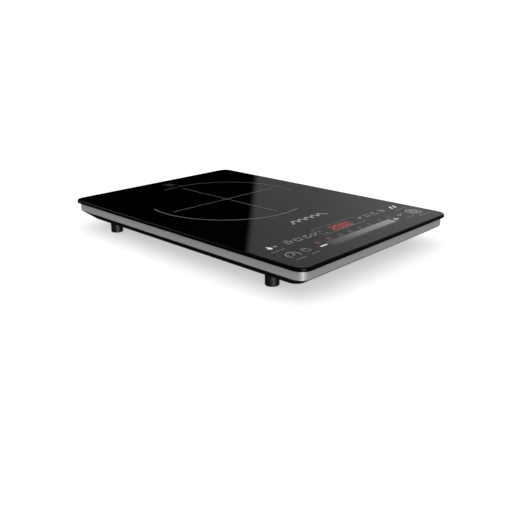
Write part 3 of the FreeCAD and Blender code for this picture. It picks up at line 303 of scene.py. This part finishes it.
def edge_material():
    """The ground edge of the glass: black and matt, with fine grinding lines along it."""
    material, shader, graph = principled("ceramic_glass_edge", IOR=1.5, Specular_IOR_Level=0.12)
    lines = graph.noise(graph.place((1, 1, 30)), 500, detail=3.0)
    graph.put(shader.inputs["Base Color"], graph.ramp(lines, (0.3, 0.0004), (0.7, 0.0010)))
    graph.put(shader.inputs["Roughness"], graph.remap(lines, 0.3, 0.7, 0.26, 0.34))
    graph.put(shader.inputs["Normal"], graph.bump(lines, 0.05, 0.01 * MM))
    return material


def ink_material(name, low, high, along=None):
    """Ceramic ink with a fine speckle. `along` is the stretch of X, in mm, over which low turns into high."""
    material, shader, graph = principled(name, IOR=1.5, Specular_IOR_Level=0.85)
    place = graph.place()
    speckle = graph.noise(place, 2600, detail=2.0)
    if along:
        start, end = along
        x = graph.dot(place, (1, 0, 0))
        base = graph.mix(graph.remap(x, start * MM, end * MM, 0.0, 1.0), low, high)
        grain = graph.ramp(speckle, (0.3, 0.9), (0.7, 1.0))
        made = graph.add("ShaderNodeMix", data_type="RGBA", blend_type="MULTIPLY")
        made.inputs[0].default_value = 1.0
        graph.put(made.inputs[6], base)
        graph.put(made.inputs[7], grain)
        graph.put(shader.inputs["Base Color"], made.outputs[2])
    else:
        graph.put(shader.inputs["Base Color"], graph.ramp(speckle, (0.3, low), (0.7, high)))
    graph.put(shader.inputs["Roughness"], graph.remap(speckle, 0.3, 0.7, 0.02, 0.05))
    return material


def lit_material(name, colour, strength):
    """A lit segment seen through the black glass, a little uneven as a diffuser is."""
    material, shader, graph = principled(name, IOR=1.5, Emission_Strength=strength)
    cloud = graph.noise(graph.place(), 700, detail=2.0)
    dimmer = [c * 0.75 for c in colour]
    graph.put(shader.inputs["Base Color"], graph.ramp(cloud, (0.3, 0.002), (0.7, 0.004)))
    graph.put(shader.inputs["Emission Color"], graph.ramp(cloud, (0.3, dimmer), (0.7, colour)))
    graph.put(shader.inputs["Roughness"], graph.remap(cloud, 0.3, 0.7, 0.02, 0.05))
    return material


def halo_material(name, colour, strength, centre, half):
    """The soft red glow round the lit digits, fading to black glass at the pad's rim."""
    material, shader, graph = principled(name, IOR=1.5, Emission_Strength=strength)
    place = graph.place()
    cubes = []
    for axis, middle, reach in zip(((1, 0, 0), (0, 1, 0)), centre, half):
        offset = graph.math("SUBTRACT", graph.dot(place, axis), middle * MM)
        share = graph.math("DIVIDE", offset, reach * MM)
        cubes.append(graph.math("POWER", graph.math("ABSOLUTE", share), 3.0))
    fade = graph.remap(graph.math("ADD", *cubes), 0.0, 1.0, 1.0, 0.0, smooth=True)
    graph.put(shader.inputs["Emission Color"], graph.mix(fade, 0.0, colour))
    shader.inputs["Base Color"].default_value = rgba(0.0006)
    graph.put(shader.inputs["Roughness"], graph.remap(graph.noise(place, 25), 0.3, 0.7, 0.02, 0.03))
    return material


def weave_material(name, colour, scale):
    """Fibres: two crossed wave patterns that shade the colour and raise the surface."""
    material, shader, graph = principled(name, Roughness=0.7)
    place = graph.place()
    heights = []
    for direction in ("X", "Y"):
        wave = graph.add("ShaderNodeTexWave", bands_direction=direction)
        graph.put(wave.inputs["Vector"], place)
        wave.inputs["Scale"].default_value = scale
        wave.inputs["Distortion"].default_value = 1.5
        heights.append(wave.outputs["Fac"])
    height = graph.math("MAXIMUM", *heights)
    darker = [c * 0.6 for c in colour]
    graph.put(shader.inputs["Base Color"], graph.ramp(height, (0.1, darker), (0.8, colour)))
    graph.put(shader.inputs["Normal"], graph.bump(height, 0.4, 0.1 * MM))
    return material


def slot_materials():
    """One material for each of the record's material slots."""
    return {
        "ceramic_glass": glass_material(),
        "adhesive": surface("adhesive_grey", (0.02, 0.02, 0.02), 0.6, grain=600, relief=0.3),
        "trim_metal": surface("trim_silver", (0.585, 0.585, 0.59), 0.38, metallic=0.5, grain=2400,
                              mottle=0.05, sheen=0.04, relief=0.08, depth=0.01, stretch=(1, 1, 0.15),
                              specular=0.3),
        "housing_plastic": surface("housing_black", (0.0045, 0.0045, 0.005), 0.48, grain=1600, mottle=0.2,
                                   relief=0.35, depth=0.03, specular=0.35),
        "foot_rubber": surface("foot_rubber_black", (0.008, 0.008, 0.0085), 0.42, grain=1300, mottle=0.25,
                               relief=0.2, depth=0.03, specular=0.5),
        "screw_steel": surface("screw_zinc", (0.55, 0.56, 0.58), 0.32, metallic=1.0, grain=1500, relief=0.15),
        "label_film": surface("label_silver", (0.42, 0.43, 0.44), 0.42, metallic=0.6, grain=1800,
                              mottle=0.05),
        "copper_litz": surface("copper_litz_strands", (0.62, 0.27, 0.12), 0.36, metallic=1.0, grain=3200,
                               mottle=0.25, relief=0.6, depth=0.05),
        "former_plastic": surface("former_phenolic", (0.035, 0.03, 0.026), 0.55, grain=900, relief=0.25),
        "ferrite": surface("ferrite_grey", (0.035, 0.036, 0.04), 0.62, grain=1400, mottle=0.3, relief=0.4),
        "mica": surface("mica_flake", (0.34, 0.27, 0.18), 0.35, grain=420, mottle=0.35, relief=0.2),
        "felt": weave_material("felt_white", (0.72, 0.71, 0.67), 900),
        "silicone": surface("silicone_black", (0.02, 0.02, 0.02), 0.55, grain=700, relief=0.15),
        "board_green": surface("board_phenolic", (0.16, 0.10, 0.045), 0.42, grain=500, mottle=0.18,
                               relief=0.1),
        "sink_aluminium": surface("sink_extruded", (0.66, 0.67, 0.68), 0.34, metallic=1.0, grain=1500,
                                  stretch=(0.08, 1, 1), relief=0.25),
        "component_black": surface("component_epoxy", (0.012, 0.012, 0.012), 0.4, grain=1500, relief=0.25),
        "film_box": surface("film_capacitor_box", (0.50, 0.36, 0.05), 0.36, grain=1200, relief=0.1),
        "can_aluminium": surface("can_sleeve", (0.02, 0.03, 0.06), 0.3, grain=700, relief=0.1),
        "wire_insulation": surface("wire_pvc", (0.05, 0.05, 0.055), 0.38, grain=1100, relief=0.12),
        "fan_plastic": surface("fan_black", (0.012, 0.012, 0.013), 0.42, grain=1300, relief=0.25),
        "bearing_bronze": surface("bearing_sintered", (0.45, 0.30, 0.14), 0.4, metallic=1.0, grain=2200,
                                  mottle=0.25),
        "light_diffuser": surface("diffuser_milky", (0.62, 0.62, 0.60), 0.45, grain=800, mottle=0.05),
        "terminal_brass": surface("terminal_tinned", (0.62, 0.60, 0.55), 0.3, metallic=1.0, grain=1600),
    }


# ---------------------------------------------------------------- drawing on the glass

INK_DEPTH = 0.03
glass_low, glass_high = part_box("glass_plate")
TOP = glass_high.z / MM
FACE = TOP - INK_DEPTH
GLOW = TOP - INK_DEPTH / 2
BODY = "cooktop"


class Ink:
    """Flat marks, each a closed prism as deep as the ink. Lengths are in mm from the part's centre."""

    def __init__(self, low=FACE, high=TOP):
        self.mesh = bmesh.new()
        self.low = low
        self.high = high

    def ribbon(self, left, right, closed=False):
        """A band between two rows of points."""
        rows = []
        for (lx, ly), (rx, ry) in zip(left, right):
            section = (lx, ly, self.low), (rx, ry, self.low), (rx, ry, self.high), (lx, ly, self.high)
            rows.append([self.mesh.verts.new([c * MM for c in point]) for point in section])
        following = rows[1:] + rows[:1] if closed else rows[1:]
        for near, far in zip(rows, following):
            for i in range(4):
                j = (i + 1) % 4
                self.mesh.faces.new((near[i], near[j], far[j], far[i]))
        if not closed:
            self.mesh.faces.new(rows[0])
            self.mesh.faces.new(reversed(rows[-1]))

    def shape(self, points):
        """A filled outline."""
        lower = [self.mesh.verts.new((x * MM, y * MM, self.low * MM)) for x, y in points]
        upper = [self.mesh.verts.new((x * MM, y * MM, self.high * MM)) for x, y in points]
        self.mesh.faces.new(lower)
        self.mesh.faces.new(upper)
        for i in range(len(points)):
            j = (i + 1) % len(points)
            self.mesh.faces.new((lower[i], lower[j], upper[j], upper[i]))

    def line(self, points, width=0.7, closed=False):
        """A stroke through the points, mitred at its corners."""
        left, right = [], []
        count = len(points)
        for i, (x, y) in enumerate(points):
            before = points[i - 1] if closed or i else None
            after = points[(i + 1) % count] if closed or i < count - 1 else None
            turns = []
            for start, end in ((before, (x, y)), ((x, y), after)):
                if start and end:
                    step = Vector((end[0] - start[0], end[1] - start[1])).normalized()
                    turns.append(Vector((-step.y, step.x)))
            normal = sum(turns, Vector((0, 0))).normalized()
            reach = width / 2 / max(0.4, normal.dot(turns[0]))
            left.append((x + normal.x * reach, y + normal.y * reach))
            right.append((x - normal.x * reach, y - normal.y * reach))
        self.ribbon(left, right, closed)

    def arc(self, x, y, radius, start, end, width=0.7, squash=1.0):
        """A stroke round a point between two angles in degrees; squash stretches it along Y."""
        steps = max(6, int(abs(end - start) * max(radius, 4) / 120))
        angles = [math.radians(start + (end - start) * i / steps) for i in range(steps + 1)]
        inner, outer = radius - width / 2, radius + width / 2
        self.ribbon([(x + outer * math.cos(a), y + outer * squash * math.sin(a)) for a in angles],
                    [(x + inner * math.cos(a), y + inner * squash * math.sin(a)) for a in angles])

    def ring(self, x, y, radius, width=0.7):
        steps = max(24, int(radius * 3))
        angles = [math.tau * i / steps for i in range(steps)]
        inner, outer = radius - width / 2, radius + width / 2
        self.ribbon([(x + outer * math.cos(a), y + outer * math.sin(a)) for a in angles],
                    [(x + inner * math.cos(a), y + inner * math.sin(a)) for a in angles], closed=True)

    def disc(self, x, y, radius):
        steps = max(16, int(radius * 5))
        self.shape([(x + radius * math.cos(math.tau * i / steps), y + radius * math.sin(math.tau * i / steps))
                    for i in range(steps)])

    def bar(self, x, y, width, height, slant=0.0):
        """A filled bar about its centre; slant is how far its top leans to the right."""
        w, h, s = width / 2, height / 2, slant / 2
        self.shape([(x - w - s, y - h), (x + w - s, y - h), (x + w + s, y + h), (x - w + s, y + h)])

    def dashes(self, x0, x1, y, height=1.3):
        """A label's place: short strokes of uneven length, with no letters in them."""
        shortest, gap = 0.6, 0.7
        x = x0
        for usual in itertools.cycle((2.6, 1.4, 2.0, 3.1, 1.7)):
            if x >= x1:
                break
            length = min(usual, x1 - x)
            if length > shortest:
                self.bar(x + length / 2, y, length, height)
            x += length + gap

    def piece(self, name, slot, material):
        """Makes the marks one object that rides the body."""
        bmesh.ops.recalc_face_normals(self.mesh, faces=self.mesh.faces)
        data = bpy.data.meshes.new(name)
        self.mesh.to_mesh(data)
        self.mesh.free()
        data.materials.append(material)
        made = bpy.data.objects.new(name, data)
        bpy.context.scene.collection.objects.link(made)
        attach(made, BODY)


def rounded_outline(x0, y0, x1, y1, radius, steps=6):
    """The points of a rectangle with rounded corners, anticlockwise from its lower right corner."""
    points = []
    left, right, front, back = x0 + radius, x1 - radius, y0 + radius, y1 - radius
    for x, y, start in ((right, front, -90), (right, back, 0), (left, back, 90), (left, front, 180)):
        for i in range(steps + 1):
            a = math.radians(start + 90 * i / steps)
            points.append((x + radius * math.cos(a), y + radius * math.sin(a)))
    return points


# ---------------------------------------------------------------- glass plate

GLASS_CORNER = 12.5
TOP_ROUND = 1.7
LOW_ROUND = 0.6
RIM = 0.4  # a narrow flat beside each rounding keeps the shading of the large face flat
CORNER_STEPS = 20
ROUND_STEPS = 6
POLISHED_BANDS = 3  # the topmost bands of faces that are polished like the top face


def make_glass(material, edge):
    """The plate with its ground, rounded edge. Its face lies under the top by the depth of the ink."""
    half_x, half_y, low = glass_high.x / MM, glass_high.y / MM, glass_low.z / MM
    turns = [math.pi / 2 * i / ROUND_STEPS for i in range(ROUND_STEPS + 1)]
    levels = [(LOW_ROUND + RIM, low)]
    levels += [(LOW_ROUND * (1 - math.sin(a)), low + LOW_ROUND * (1 - math.cos(a))) for a in turns]
    levels += [(TOP_ROUND * (1 - math.cos(a)), FACE - TOP_ROUND * (1 - math.sin(a))) for a in turns]
    levels.append((TOP_ROUND + RIM, FACE))
    mesh = bmesh.new()
    loops = []
    for inset, level in levels:
        outline = rounded_outline(inset - half_x, inset - half_y, half_x - inset, half_y - inset,
                                  GLASS_CORNER - inset, CORNER_STEPS)
        loops.append([mesh.verts.new((x * MM, y * MM, level * MM)) for x, y in outline])
    for i, (lower, upper) in enumerate(zip(loops, loops[1:])):
        for j in range(len(lower)):
            k = (j + 1) % len(lower)
            face = mesh.faces.new((lower[j], lower[k], upper[k], upper[j]))
            face.material_index = 1 if i < len(levels) - 1 - POLISHED_BANDS else 0
    mesh.faces.new(list(reversed(loops[0]))).material_index = 1
    mesh.faces.new(loops[-1]).material_index = 0
    bmesh.ops.recalc_face_normals(mesh, faces=mesh.faces)
    for face in mesh.faces:
        face.smooth = True
    data = bpy.data.meshes.new("glass_slab")
    mesh.to_mesh(data)
    mesh.free()
    data.materials.append(material)
    data.materials.append(edge)
    slab = bpy.data.objects.new("glass_slab", data)
    bpy.context.scene.collection.objects.link(slab)
    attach(slab, BODY)
    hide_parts("glass_plate")


# ---------------------------------------------------------------- cooking zone print

ZONE_X, ZONE_Y = 0.6, 46.9
ZONE_RADIUS = 97.4
ZONE_ARCS = (164, 286, 1.25), (-16, 105, 0.65)  # start and end in degrees, width
ARM = 85.5
ARM_WIDTH = 0.8
REAR_MARK_X, REAR_MARK_Y = 1.3, 157.5
HUMPS = 5
HUMP_PITCH = 11.2
HUMP_ROW_X, HUMP_ROW_Y = -20.5, -87.0


def print_zone():
    """The cooking ring in two arcs with its cross hair, a steam mark behind it and humps in front."""
    ink = Ink()
    for start, end, width in ZONE_ARCS:
        ink.arc(ZONE_X, ZONE_Y, ZONE_RADIUS, start, end, width)
    ink.line([(ZONE_X - ARM, ZONE_Y), (ZONE_X + ARM, ZONE_Y)], ARM_WIDTH)
    ink.line([(ZONE_X, ZONE_Y + ARM), (ZONE_X, ZONE_Y + ARM_WIDTH / 2)], ARM_WIDTH)
    ink.line([(ZONE_X, ZONE_Y - ARM_WIDTH / 2), (ZONE_X, ZONE_Y - ARM)], ARM_WIDTH)
    ink.piece("zone_print", "light_diffuser", ink_material("ink_zone", 0.20, 0.27))

    mark = Ink()
    for radius in (6.6, 3.4):
        mark.arc(REAR_MARK_X, REAR_MARK_Y, radius, 15, 165, 0.9)
    mark.bar(REAR_MARK_X, REAR_MARK_Y - 1.9, 14.0, 0.9)
    for x in (REAR_MARK_X - 4.9, REAR_MARK_X, REAR_MARK_X + 4.9):
        mark.line([(x - 0.9, 166.0), (x + 0.7, 167.4), (x - 0.7, 169.0), (x + 0.9, 170.5)], 0.8)
    mark.piece("rear_mark_print", "light_diffuser", ink_material("ink_faint", 0.10, 0.16))

    humps = Ink()
    for i in range(HUMPS):
        humps.arc(HUMP_ROW_X + HUMP_PITCH * i, HUMP_ROW_Y, 4.7, 0, 180, 1.7, squash=1.5)
    for x in (-27.2, 31.2):
        humps.bar(x, HUMP_ROW_Y - 0.6, 4.2, 1.6)
    humps.piece("coil_mark_print", "light_diffuser", ink_material("ink_mark", 0.36, 0.48))


# ---------------------------------------------------------------- touch panel print

FLAME = ((0.4, 6.6), (1.5, 3.5), (3.5, 1.0), (3.9, -1.9), (2.5, -4.6), (0.0, -5.6), (-2.6, -4.6),
         (-3.9, -1.9), (-3.1, 1.2), (-1.9, -0.3), (-1.2, 3.2))
FLAME_SIZE = 0.75
FLAME_X, FLAME_Y = -108, -124.6
BOLT = ((69.6, -152.2), (64.2, -158.2), (67.0, -158.2), (64.8, -163.0), (70.6, -156.6), (67.8, -156.6))
DIAL_X, DIAL_Y = -106, -154
MAIN_KEY_X, MAIN_KEY_Y = 109.8, -154.6


def cross(ink, x, y, reach, width, turn):
    """A cross about a point, turned by an angle in degrees."""
    points = []
    for i in range(4):
        a = math.radians(turn + 90 * i)
        along, across = Vector((math.cos(a), math.sin(a))), Vector((-math.sin(a), math.cos(a))) * width / 2
        for point in (along * width / 2 - across, along * reach - across, along * reach + across):
            points.append((x + point.x, y + point.y))
    ink.shape(points)


def pot(ink, x, y, size, width=0.75):
    """A pan with a lid and two handles."""
    w, h = size * 0.36, size * 0.30
    ink.line([(x - w, y + h * 0.4), (x - w, y - h), (x + w, y - h), (x + w, y + h * 0.4)], width)
    ink.line([(x - w - size * 0.14, y + h * 0.75), (x + w + size * 0.14, y + h * 0.75)], width)
    ink.bar(x, y + h * 1.3, size * 0.16, width)


def kettle(ink, x, y, size, width=0.75):
    """A body that narrows upwards, with a spout and a bail handle."""
    w, h = size * 0.30, size * 0.34
    shoulder, neck = y + h * 0.35, w * 0.6
    ink.line([(x - w, y - h), (x + w, y - h), (x + neck, shoulder), (x - neck, shoulder)], width, closed=True)
    ink.line([(x + w * 1.15, y - h * 0.1), (x + w * 1.75, y + h * 0.45)], width)
    ink.arc(x, y + h * 0.5, w * 0.75, 20, 160, width)


def steamer(ink, x, y, size, width=0.75):
    """An open bowl with three wisps of steam."""
    w, h = size * 0.36, size * 0.30
    ink.line([(x - w, y), (x - w * 0.75, y - h), (x + w * 0.75, y - h), (x + w, y)], width)
    for shift in (-0.45, 0.0, 0.45):
        foot, lean = x + w * shift, size * 0.05
        ink.line([(foot - lean, y + h * 0.3), (foot + lean, y + h * 0.75), (foot - lean, y + h * 1.2)], width)


def frying_pan(ink, x, y, size, width=0.75):
    """A round pan from above, with its handle."""
    ink.ring(x - size * 0.12, y, size * 0.27, width)
    ink.line([(x + size * 0.19, y + size * 0.06), (x + size * 0.48, y + size * 0.2)], width * 1.3)


def print_panel():
    """The two rows of keys, in three strengths of ink."""
    bright, grey, dim = Ink(), Ink(), Ink()

    # first row: cooking programs, the time display and the timer keys
    bright.shape([(FLAME_X + FLAME_SIZE * x, FLAME_Y + FLAME_SIZE * y) for x, y in FLAME])
    cross(grey, -99.6, -125.0, 2.6, 0.95, 0)
    dim.dashes(-117, -98, -136)
    programs = ((kettle, -81, -125.2), (pot, -67, -126.5), (steamer, -53.5, -127.0),
                (frying_pan, -41.5, -127.2))
    for draw, x, y in programs:
        draw(grey, x, y, 12)
    dim.line(rounded_outline(-34.6, -136.9, 40.0, -116.2, 4.0), 0.6, closed=True)
    dim.ring(-29, -124, 1.7, 0.6)
    dim.line([(-29, -124), (-29, -123.0)], 0.5)
    dim.bar(-27.4, -133.6, 4.6, 0.8)
    bright.disc(44, -125, 1.35)
    for draw, x, y in ((pot, 57, -125.4), (steamer, 70.6, -126.2), (kettle, 86, -125.6)):
        draw(grey, x, y, 10.5)
    for x in (105.8, 113.4):
        bright.bar(x, -126.6, 3.1, 8.0, slant=4.6)
    dim.dashes(101, 121, -137.8)

    # second row: timer dial, lock, power slider and the main key
    grey.arc(DIAL_X, DIAL_Y, 7.6, -40, 220, 0.8)
    grey.line([(DIAL_X - 0.4, DIAL_Y - 0.4), (DIAL_X + 2.8, DIAL_Y + 3.8)], 0.9)
    grey.disc(DIAL_X, DIAL_Y - 0.9, 1.1)
    for turn in (20, 90, 160):
        a = math.radians(turn)
        tick = [(DIAL_X + radius * math.cos(a), DIAL_Y + radius * math.sin(a)) for radius in (4.8, 6.4)]
        grey.line(tick, 0.6)
    dim.dashes(-115, -100, -165.7)
    dim.line(rounded_outline(-90.8, -157.5, -82.8, -151.2, 1.2, 3), 0.9, closed=True)
    dim.arc(-86.8, -150.4, 2.7, 0, 180, 0.9)
    dim.dashes(-92, -80, -165.3)
    bright.bar(-63.8, -157.4, 10.6, 2.5)
    dim.bar(2.0, -164.6, 116.0, 0.5)
    bright.shape(BOLT)
    grey.bar(73.4, -157.4, 3.6, 0.9)
    frying_pan(grey, 86, -151.0, 9.5)
    dim.dashes(79, 96, -163.4)
    grey.ring(MAIN_KEY_X, MAIN_KEY_Y, 9.3, 0.8)
    grey.arc(MAIN_KEY_X, MAIN_KEY_Y, 4.3, 118, 422, 1.0)
    grey.bar(MAIN_KEY_X, MAIN_KEY_Y + 3.2, 1.0, 5.0)
    dim.dashes(98, 122, -170.0)

    bright.piece("bright_print", "light_diffuser", ink_material("ink_white", 0.80, 0.92))
    grey.piece("key_print", "light_diffuser", ink_material("ink_grey", 0.34, 0.46))
    dim.piece("label_print", "light_diffuser", ink_material("ink_dim", 0.17, 0.24))


LEVEL_XS = (-63, -44, -25, -8, 10, 28, 48, 66)
LEVEL_Y = -146.6


def print_slider():
    """The power slider, brighter to the right, with the marks of its levels, and the main key's pale face."""
    slider = Ink()
    slider.shape(rounded_outline(-56.0, -162.8, 60.2, -152.1, 0.8, 3))
    slider.piece("slider_print", "light_diffuser", ink_material("ink_slider", 0.03, 0.32, along=(-56, 60)))
    levels = Ink()
    for x in LEVEL_XS:
        levels.bar(x, LEVEL_Y, 1.3, 4.2, slant=1.0)
        levels.bar(x + 3.0, LEVEL_Y, 1.3, 3.0, slant=0.7)
        levels.bar(x + 1.6, LEVEL_Y - 3.2, 6.0, 0.7)
    levels.piece("level_print", "light_diffuser",
                 ink_material("ink_level", (0.40, 0.08, 0.09), (0.22, 0.15, 0.16), along=(-63, 40)))
    veil = Ink(FACE, GLOW)
    veil.disc(MAIN_KEY_X, MAIN_KEY_Y, 8.8)
    veil.piece("main_key_print", "light_diffuser", ink_material("ink_veil", 0.05, 0.07))


SEGMENTS = {"0": "abcdef", "2": "abged"}
DISPLAY = (3.0, -128.8)
DIGIT_PITCH = 8.8
DIGIT = (5.2, 11.8)
STROKE = 1.3
SEGMENT_GAP = 0.9
SEGMENT_TIP = 0.7
LEAN = 0.16
LED_RED = 1.0, 0.13, 0.12
HALO_RED = 1.0, 0.06, 0.05
HALO_HALF = 21.5, 9.5
HALO_CORNER = 6.0


def light_digits():
    """Four slanted seven-segment figures and the glow round them."""
    w, h = DIGIT[0] / 2, DIGIT[1] / 2
    ends = {"a": ((-w, h), (w, h)), "b": ((w, h), (w, 0)), "c": ((w, 0), (w, -h)), "d": ((-w, -h), (w, -h)),
            "e": ((-w, 0), (-w, -h)), "f": ((-w, h), (-w, 0)), "g": ((-w, 0), (w, 0))}
    lit = Ink(GLOW, TOP)
    for place, figure in enumerate("2000"):
        x0 = DISPLAY[0] + (place - 1.5) * DIGIT_PITCH
        for segment in SEGMENTS[figure]:
            start, end = (Vector(point) for point in ends[segment])
            step = (end - start).normalized()
            start, end = start + step * SEGMENT_GAP, end - step * SEGMENT_GAP
            across, tip = Vector((-step.y, step.x)) * STROKE / 2, step * SEGMENT_TIP
            outline = (start - tip, start + across, end + across, end + tip, end - across, start - across)
            lit.shape([(x0 + p.x + p.y * LEAN, DISPLAY[1] + p.y) for p in outline])
    lit.piece("display_digits", "light_diffuser", lit_material("led_red", LED_RED, 0.52))
    halo = Ink(FACE, GLOW)
    (x, y), (half_x, half_y) = DISPLAY, HALO_HALF
    halo.shape(rounded_outline(x - half_x, y - half_y, x + half_x, y + half_y, HALO_CORNER))
    glow = halo_material("led_glow", HALO_RED, 0.07, DISPLAY, HALO_HALF)
    halo.piece("display_glow", "light_diffuser", glow)


# ---------------------------------------------------------------- underside

FOOT_SCREWS = [(x, y) for x in (109.2, -109.2) for y in (130.3, -130.3)]
HOUSING_SCREWS = [(x, y) for x in (85, -85) for y in (164, -164)] + [(112, 8), (-112, 8)]
FIRST_TURN, NEXT_TURN = 17, 31  # degrees; no two screws stop at the same angle
LABEL_MARGIN = 2
LABEL_ROWS = 5


def mark_underside():
    """The cross recesses of the screw heads as flat dark marks of painted shade, and the rating label's ruled
    table with empty fields.
    """
    # painted shade: each cross recess is a thin dark prism on the flat head, not a hollow
    recess_shade = surface("recess_painted_shade", (0.03, 0.03, 0.03), 0.5, metallic=0.6, grain=1500)
    for node, places in (("housing_screws", HOUSING_SCREWS), ("foot_screws", FOOT_SCREWS)):
        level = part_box(node)[0].z / MM
        heads = Ink(level - INK_DEPTH, level)
        for i, (x, y) in enumerate(places):
            cross(heads, x, y, 1.6, 0.7, FIRST_TURN + NEXT_TURN * i)
        heads.piece(node + "_recess", "screw_steel", recess_shade)
    low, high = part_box("rating_label")
    level = low.z / MM
    x0, y0 = low.x / MM + LABEL_MARGIN, low.y / MM + LABEL_MARGIN
    x1, y1 = high.x / MM - LABEL_MARGIN, high.y / MM - LABEL_MARGIN
    rules = Ink(level - INK_DEPTH, level)
    rules.line(rounded_outline(x0, y0, x1, y1, 1.5, 3), 0.4, closed=True)
    for i in range(1, LABEL_ROWS):
        rules.bar((x0 + x1) / 2, y0 + (y1 - y0) * i / LABEL_ROWS, x1 - x0 - 1, 0.3)
    rule_ink = surface("rule_ink", (0.03, 0.03, 0.035), 0.5, grain=1500)
    rules.piece("label_rules", "component_black", rule_ink)


# ---------------------------------------------------------------- the whole scene

def dress_frame(materials):
    """Gives every CAD node that still shows the material of its slot."""
    for part in frame["record"]["subparts"]:
        node = frame["nodes"][part["node"]]
        node.data.materials.clear()
        node.data.materials.append(materials[part["material_slot"]])


bpy.context.scene.view_settings.view_transform = "Standard"
make_camera()
make_world()
make_floor()
make_corner_light()
materials = slot_materials()
dress_frame(materials)
make_glass(materials["ceramic_glass"], edge_material())
print_zone()
print_panel()
print_slider()
light_digits()
mark_underside()
